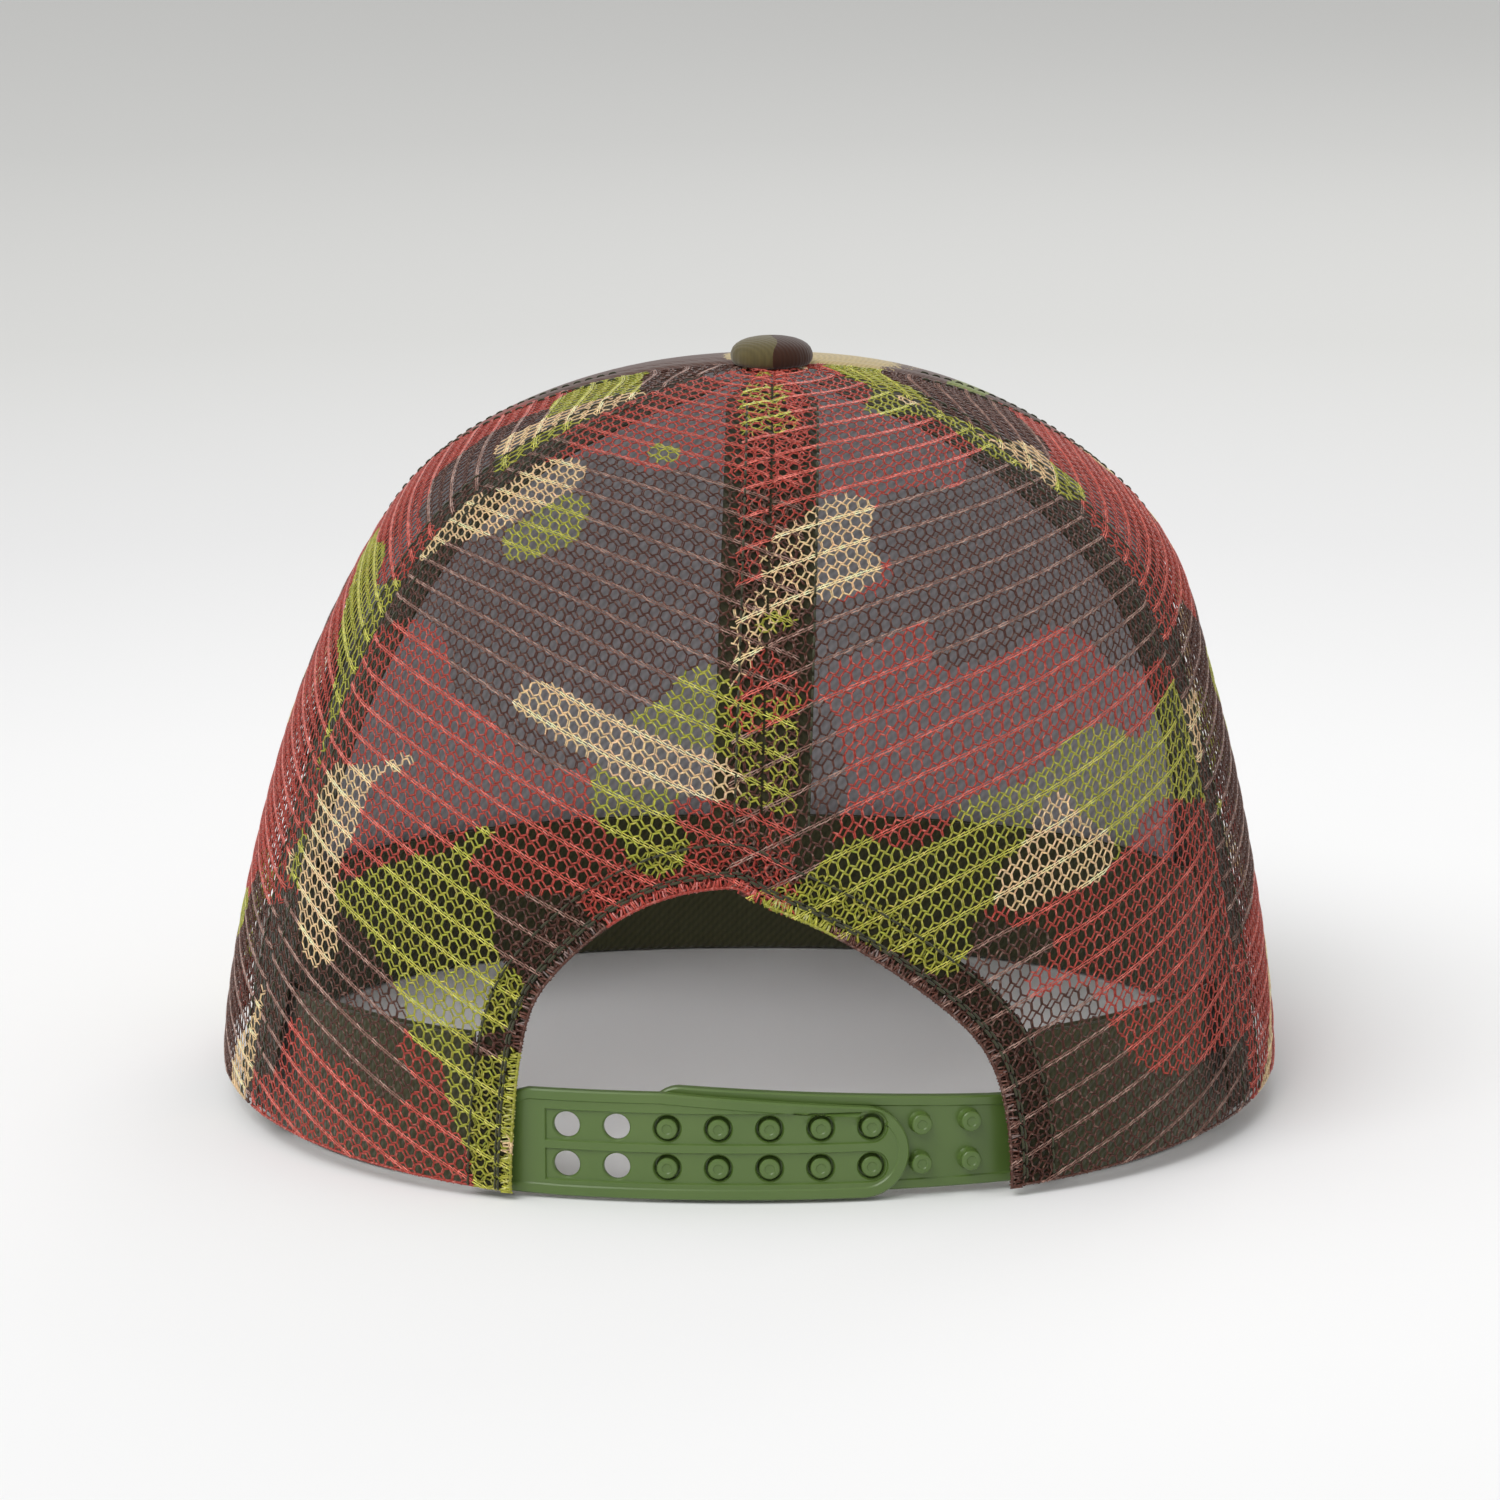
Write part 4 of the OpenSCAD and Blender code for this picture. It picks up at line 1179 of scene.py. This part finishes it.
def visor_cover(piece, material, up, printed):
    """Cloth on one face of the visor (up is 1 or -1), grooved along the stitching."""
    steps = np.concatenate([np.linspace(0, 0.985, 130), [0.992, 1.0]])
    share, outward = np.meshgrid(VISOR_SHARES, steps, indexing="ij")
    xy, end = visor_xy(share, outward), visor_edge(share)
    gap = np.linalg.norm(end - xy, axis=-1)
    wide = np.linalg.norm(end - visor_xy(share, 0.0), axis=-1) > 12
    groove = sum(np.exp(-((gap - row) / 0.7) ** 2) for row in STITCH_ROWS) * 0.22 * wide
    swell = 0.06 * np.cos(np.clip(gap - 1.5, 0, 100) * 2 * np.pi / 7) * wide
    face = visor_z(xy[..., 0], xy[..., 1]) - (0.0 if up > 0 else VISOR_THICKNESS)
    edge = end[:, -1]
    outward_direction = unit(edge - visor_xy(VISOR_SHARES, 0.97))
    middle_z = visor_z(edge[:, 0], edge[:, 1]) - VISOR_THICKNESS / 2

    def layer(z, reach, height):
        """The face, then the roll of cloth over the edge to half the visor's thickness."""
        rolls = [np.concatenate([edge + outward_direction * reach * sind(turn),
                                 (middle_z + up * height * cosd(turn))[:, None]], -1)
                 for turn in np.linspace(12, 90, 8)]
        return np.concatenate([np.concatenate([xy, z[..., None]], -1), np.stack(rolls, 1)], 1)

    points, faces = shell(layer(face - up * groove + up * swell, reach=1.0, height=1.62),
                          layer(face - up * 0.55, reach=0.55, height=1.12))
    cloth = points[:, :2]
    tidy(build(piece, "twill", points, faces, material, weave=cloth,
               patches=layers(cloth[:, 0] + 900, cloth[:, 1] + 410) if printed else None), 60)


def visor_thread():
    runs = []
    for inset in STITCH_ROWS:
        reach = 1 - (inset + 6) / 190
        line = visor_edge(np.linspace(-reach, reach, 300), inset)
        x, y = line[:, 0], line[:, 1]
        crown_edge = plan_radius(np.degrees(np.arctan2(x, -y))) + 2.5
        line = line[(y > 0) & (np.hypot(x, y) > crown_edge)]
        path = np.concatenate([line, (visor_z(line[:, 0], line[:, 1]) + 0.12)[:, None]], -1)
        runs.append(stitches(path, np.tile([[0, 0, 1.0]], (len(path), 1)), length=3.0, fill=0.84,
                             width=0.46, height=0.36, sink=0.35))
    build_thread("visor_stitching", runs)


visor_cover("visor_top_cover", "printed_twill", up=1, printed=True)
visor_cover("visor_under_cover", "olive_twill", up=-1, printed=False)
visor_thread()

# ------------------------------------------------------------------ sweatband
# Cross-sections as distance in from the crown's plan and z.
BAND_SECTION = np.array([
    (6.0, 27.6), (6.0, 20), (6.0, 10), (6.0, 3.4), (6.12, 3.1), (6.0, 2.7), (6.05, 1.6),
    (6.2, 0.7), (6.6, 0.15), (7.2, 0.0), (7.8, 0.15), (8.2, 0.7), (8.36, 1.6), (8.4, 2.7),
    (8.28, 3.1), (8.4, 3.4), (8.4, 10), (8.4, 20), (8.4, 27.7), (8.3, 28.0), (7.98, 28.0),
    (7.86, 27.6), (7.85, 2.2), (7.6, 1.0), (7.2, 0.78), (6.8, 1.0), (6.55, 2.2), (6.54, 27.4),
    (6.42, 27.9), (6.12, 27.9)])
CORE_SECTION = np.array([(6.72, 27.2), (6.72, 1.0), (7.68, 1.0), (7.68, 27.2)])


def sweep(section, start, count, around_section):
    """A section swept round the crown's plan, open at the back between -start and start:
    points, quads, point indices by station and weave places."""
    angles = np.linspace(start, 360 - start, count)[:, None]
    radius = plan_radius(angles) - section[:, 0][None]
    z = np.broadcast_to(section[:, 1][None], radius.shape)
    grid = np.stack([radius * sind(angles), -radius * cosd(angles), z], -1)
    size = len(section)
    index = np.arange(count * size).reshape(count, size)
    quads = [np.stack([index[:-1, j], index[1:, j], index[1:, (j + 1) % size],
                       index[:-1, (j + 1) % size]], -1) for j in range(size)]
    along = run_length(grid[:, 0])[:, None]
    cloth = np.stack(np.broadcast_arrays(along, around_section[None]), -1)
    return grid.reshape(-1, 3), np.concatenate(quads), index, cloth.reshape(-1, 2)


def in_outline(places, outline):
    """Which places lie inside a closed outline."""
    x, y = places[:, 0], places[:, 1]
    inside = np.zeros(len(places), bool)
    for (x0, y0), (x1, y1) in zip(outline, np.roll(outline, -1, 0)):
        hit = (y0 > y) != (y1 > y)
        inside ^= hit & (x < x0 + (y - y0) * (x1 - x0) / (y1 - y0 + 1e-12))
    return inside


def section_triangles(section):
    """Triangles that fill a section, or none if filling it would need other points."""
    size = len(section)
    filled = delaunay_2d_cdt([Vector((float(x), float(y))) for x, y in section],
                             [(i, (i + 1) % size) for i in range(size)], [], 1, 1e-6)
    if len(filled[0]) != size:
        return np.zeros((0, 3), int)
    triangles = np.array([face for face in filled[2] if len(face) == 3])
    return triangles[in_outline(section[triangles].mean(1), section)]


def sweatband():
    points, quads, index, cloth = sweep(BAND_SECTION, 31.0, 300, run_length(BAND_SECTION))
    faces = [quads]
    ends = section_triangles(BAND_SECTION)
    if len(ends):
        faces.append(np.concatenate([index[0][ends], index[-1][ends][:, ::-1]]))
    tidy(build("sweatband", "cotton", points, faces, "band_cotton", weave=cloth), 60)


def sweatband_core():
    points, quads, index, cloth = sweep(CORE_SECTION, 31.4, 200, np.array([0, 26.0, 27, 53]))
    tidy(build("sweatband_core", "felt", points, [quads, np.array([index[0], index[-1][::-1]])],
               "felt_strip", weave=cloth), 60)


sweatband()
sweatband_core()

# ------------------------------------------------------------------ snap closure
# The straps lie on an arc about (0, STRAP_CENTRE_Y). A place on them is the distance along
# the arc to +X from the middle, and z; heights on them are radii.
STRAP_RADIUS, STRAP_CENTRE_Y = 150.0, 55.4
SNAP_PITCH, FIRST_SNAP = 3.434, -12.62  # degrees
SNAP_ROWS = (6.2, 13.4)  # z
HOLE_FACE, HOLE_BORDER, HOLE_CHANNEL = 151.70, 151.46, 151.02
PEG_FACE, PEG_FLOOR = 149.68, 149.46
# a stud from its foot up, as its own radius and radius on the arc
STUD = np.array([(2.2, 149.3), (2.0, 149.55), (1.84, 149.95), (1.70, 150.3), (1.70, 150.8),
                 (1.84, 151.15), (1.85, 151.35), (1.68, 151.58), (1.3, 151.69), (0.95, 151.70),
                 (0.78, 151.55), (0.02, 151.5)])
STUD_SIDES = 24


def on_arc(along, z, radius):
    turn = along / STRAP_RADIUS
    return np.stack([radius * np.sin(turn), STRAP_CENTRE_Y - radius * np.cos(turn), z], -1)


def along_at(x):
    return STRAP_RADIUS * np.arcsin(np.asarray(x, float) / 150.5)


def snap_turn(column):
    return np.radians(FIRST_SNAP + SNAP_PITCH * column)


def round_end(x, z, half_length, half_height, degrees):
    """Outline points round the end of a strap or channel."""
    return [(along_at(x) + half_length * math.cos(turn), z + half_height * math.sin(turn))
            for turn in np.radians(degrees)]


def outline(points, step=0.9):
    """A closed outline with points about a step apart and no repeats."""
    points, dense = np.array(points), []
    for start, end in zip(points, np.roll(points, -1, 0)):
        count = max(int(np.linalg.norm(end - start) / step), 1)
        dense += [start + (end - start) * i / count for i in range(count)]
    dense = np.array(dense)
    return dense[np.linalg.norm(dense - np.roll(dense, 1, 0), axis=1) > 0.02]


def inset_outline(points, distance):
    """Moves a counterclockwise outline inward."""
    before, after = unit(points - np.roll(points, 1, 0)), unit(np.roll(points, -1, 0) - points)
    first = np.stack([-before[:, 1], before[:, 0]], -1)
    second = np.stack([-after[:, 1], after[:, 0]], -1)
    inward = unit(first + second)
    return points + inward * (distance / np.maximum((inward * first).sum(-1), 0.5))[:, None]


def circle(centre, radius):
    turn = ring_angles(28)
    return np.stack([centre[0] + radius * np.cos(turn), centre[1] + radius * np.sin(turn)], -1)


def sheet(loops, holes, step=1.6):
    """Places and triangles over loops[0] minus the holes, with every loop kept as an edge."""
    places, edges = [], []
    for loop in loops + holes:
        first = len(places)
        places += [tuple(place) for place in loop]
        edges += [(first + i, first + (i + 1) % len(loop)) for i in range(len(loop))]
    low, high = loops[0].min(0), loops[0].max(0)
    x, y = np.meshgrid(np.arange(low[0] + 0.8, high[0], step),
                       np.arange(low[1] + 0.8, high[1], step))
    grid = np.stack([x.ravel(), y.ravel()], -1)
    gap = np.sqrt(((grid[:, None] - np.array(places)[None]) ** 2).sum(-1)).min(1)
    grid = grid[in_outline(grid, loops[0]) & (gap > 0.55)]
    for hole in holes:
        grid = grid[~in_outline(grid, hole)]
    places += [tuple(place) for place in grid]
    filled = delaunay_2d_cdt([Vector((float(x), float(y))) for x, y in places], edges, [], 0, 1e-7)
    places = np.array([tuple(place) for place in filled[0]])
    triangles = np.array([face for face in filled[2] if len(face) == 3])
    centres = places[triangles].mean(1)
    kept = in_outline(centres, loops[0])
    for hole in holes:
        kept &= ~in_outline(centres, hole)
    return places, triangles[kept]


def on_loop(places, loop, tolerance=1e-3):
    return ((places[:, None] - loop[None]) ** 2).sum(-1).min(1) < tolerance * tolerance


def plate(loops, back, face, floors, holes=(), hole_radius=None):
    """Closed strap solid. loops and floors are (outline, radius) pairs: a loop sets the radius
    of its own points, a floor that of the points inside it. The first loop is the outside."""
    holes = list(holes)
    outlines = [loop for loop, _ in loops]
    places, triangles = sheet(outlines, holes)
    radius = np.full(len(places), face)
    for floor, level in floors:
        radius[in_outline(places, floor)] = level
    for loop, level in loops + [(hole, hole_radius) for hole in holes]:
        radius[on_loop(places, loop)] = level
    items = [(on_arc(places[:, 0], places[:, 1], radius), [triangles])]
    places, triangles = sheet(outlines[:1], holes)
    items.append((on_arc(places[:, 0], places[:, 1], back), [triangles[:, ::-1]]))
    for loop, level in loops[:1] + [(hole, hole_radius) for hole in holes]:
        count = len(loop)
        wall = np.concatenate([on_arc(loop[:, 0], loop[:, 1], level),
                               on_arc(loop[:, 0], loop[:, 1], back)])
        i = np.arange(count)
        after = (i + 1) % count
        items.append((wall, [np.stack([i, after, after + count], -1),
                             np.stack([i, after + count, i + count], -1)]))
    return merge(items)


def channel(z, half, left, right):
    """Outline of a channel along a row of holes, round at its right end."""
    end = along_at(right - half)
    return outline([(along_at(left), z - half), (end, z - half)]
                   + round_end(right - half, z, half, half, np.arange(-80, 81, 16))
                   + [(end, z + half), (along_at(left), z + half)])


def build_strap(piece, points, faces):
    strap = build(piece, "moulding", points, faces, "strap_plastic", body=None,
                  also_replaces=[piece + "_root"])
    tidy(strap, 32, weld=True)
    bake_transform(strap)


def hole_strap():
    """The strap from the left, with two channelled rows of holes."""
    root, end = along_at(-47.6), along_at(19.4)
    outside = outline([(root, 0.9), (along_at(-34), 0.5), (end, 0.5)]
                      + round_end(19.4, 8.8, 8.2, 8.3, np.arange(-84, 85, 7))
                      + [(end, 17.1), (along_at(-16), 19.9), (along_at(-39.8), 19.8),
                         (along_at(-43), 18.8), (root, 18.8)])
    border = inset_outline(outside, 2.0)
    loops = [(outside, 151.42), (inset_outline(outside, 0.28), HOLE_FACE),
             (inset_outline(outside, 1.75), HOLE_FACE), (border, HOLE_BORDER)]
    floors = [(border, HOLE_BORDER)]
    for z in SNAP_ROWS:
        floors.append((channel(z, 2.68, -36.38, 23.68), HOLE_CHANNEL))
        loops += [(channel(z, 2.9, -36.6, 23.9), HOLE_BORDER), floors[-1]]
    centres = [(150 * snap_turn(k), z) for z in SNAP_ROWS for k in range(7)]
    loops += [(circle(centre, 2.62), HOLE_CHANNEL) for centre in centres]
    # each hole's edge lies below the channel round it, which makes a small bevel
    points, faces = plate(loops, back=150.0, face=HOLE_FACE, floors=floors,
                          holes=[circle(centre, 2.36) for centre in centres], hole_radius=150.72)
    build_strap("hole_strap", points, faces)


def stud(column, z):
    turn, ring = snap_turn(column), ring_angles(STUD_SIDES)[None, :, None]
    across = np.array([math.cos(turn), math.sin(turn), 0])
    outward = np.array([math.sin(turn), -math.cos(turn), 0])
    points = (np.array([0, STRAP_CENTRE_Y, z]) + outward * STUD[:, 1][:, None, None]
              + STUD[:, 0][:, None, None]
              * (np.cos(ring) * across + np.sin(ring) * np.array([0, 0, 1.0])))
    bottom = np.arange(STUD_SIDES)
    top = bottom + (len(STUD) - 1) * STUD_SIDES
    quads = turned_faces(len(STUD), STUD_SIDES, False)
    return points.reshape(-1, 3), [quads, bottom[::-1][None], top[None]]


def peg_strap():
    """The strap from the right: a plain tongue with two rows of studs."""
    root, end = along_at(48.3), along_at(-13.2)
    outside = outline([(root, 1.3), (root, 17.3), (along_at(42.6), 17.4), (end, 20.6)]
                      + round_end(-13.2, 10.9, 7.0, 9.7, np.arange(96, 265, 7)) + [(end, 1.2)])
    floor = (inset_outline(outside, 1.85), PEG_FLOOR)
    tongue = plate([(outside, 149.42), (inset_outline(outside, 0.3), PEG_FACE),
                    (inset_outline(outside, 1.6), PEG_FACE), floor],
                   back=147.8, face=PEG_FACE, floors=[floor])
    studs = [stud(column, z) for column in range(2, 9) for z in SNAP_ROWS]
    points, faces = merge([tongue] + studs)
    build_strap("peg_strap", points, faces)


hole_strap()
peg_strap()

# ------------------------------------------------------------------ CAD pieces shown as they are
for piece, material in (("button_shell", "pressed_metal"), ("button_rivet", "pressed_metal"),
                        ("visor_board", "moulded_board")):
    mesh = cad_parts[piece].data
    mesh.materials.clear()
    mesh.materials.append(MATERIALS[material])


# ------------------------------------------------------------------ floor, lights, camera (metres)
def add_floor():
    bpy.ops.mesh.primitive_plane_add(size=9.0, location=(0, 0, -0.0002))
    floor = bpy.context.object
    floor.name = "floor"
    floor.data.materials.append(MATERIALS["floor_paper"])


def add_world():
    world = bpy.data.worlds.new("soft")
    bpy.context.scene.world = world
    world.use_nodes = True
    background = world.node_tree.nodes["Background"]
    background.inputs["Color"].default_value = (1.0, 1.0, 1.0, 1)
    background.inputs["Strength"].default_value = 0.66


def add_light(name, kind, place, target, energy, **settings):
    light = bpy.data.lights.new(name, kind)
    light.energy = energy
    for key, value in settings.items():
        setattr(light, key, value)
    obj = bpy.data.objects.new(name, light)
    bpy.context.scene.collection.objects.link(obj)
    obj.location = place
    aim = Vector(target) - Vector(place)
    obj.rotation_euler = aim.to_track_quat("-Z", "Y").to_euler()


def add_camera(azimuth, elevation, distance, roll, target):
    """Looks at the target from behind the cap; azimuth turns from -Y to +X, in degrees."""
    azimuth, elevation = math.radians(azimuth), math.radians(elevation)
    towards = Vector((math.sin(azimuth) * math.cos(elevation),
                      -math.cos(azimuth) * math.cos(elevation), math.sin(elevation)))
    lens = bpy.data.cameras.new("photo_view")
    lens.sensor_width, lens.lens = 36.0, 151.2
    lens.clip_start, lens.clip_end = 0.05, 30
    camera = bpy.data.objects.new("photo_view", lens)
    bpy.context.scene.collection.objects.link(camera)
    turn = (-towards).to_track_quat("-Z", "Y").to_matrix().to_4x4()
    turn = turn @ Matrix.Rotation(math.radians(roll), 4, "Z")
    camera.matrix_world = Matrix.Translation(Vector(target) + towards * distance) @ turn
    bpy.context.scene.camera = camera


add_floor()
add_world()
add_light("key", "SUN", (-0.95, -0.9, 1.7), (0, 0, 0), energy=1.15, angle=math.radians(34))
add_light("fill", "SUN", (-1.3, 0.2, 1.4), (0, 0, 0), energy=0.28, angle=math.radians(60))
add_light("glint", "AREA", (-0.35, -1.5, 1.3), (0, 0, 0.06), energy=4.5, shape="SQUARE", size=0.45)
add_light("back", "AREA", (0.5, 1.4, 1.0), (0, 0, 0.06), energy=3.5, shape="SQUARE", size=0.6)
add_camera(azimuth=-0.4, elevation=12.087, distance=1.195, roll=-0.133,
           target=(0.00031, 0, 0.061385))
bpy.context.scene.view_settings.view_transform = "Standard"
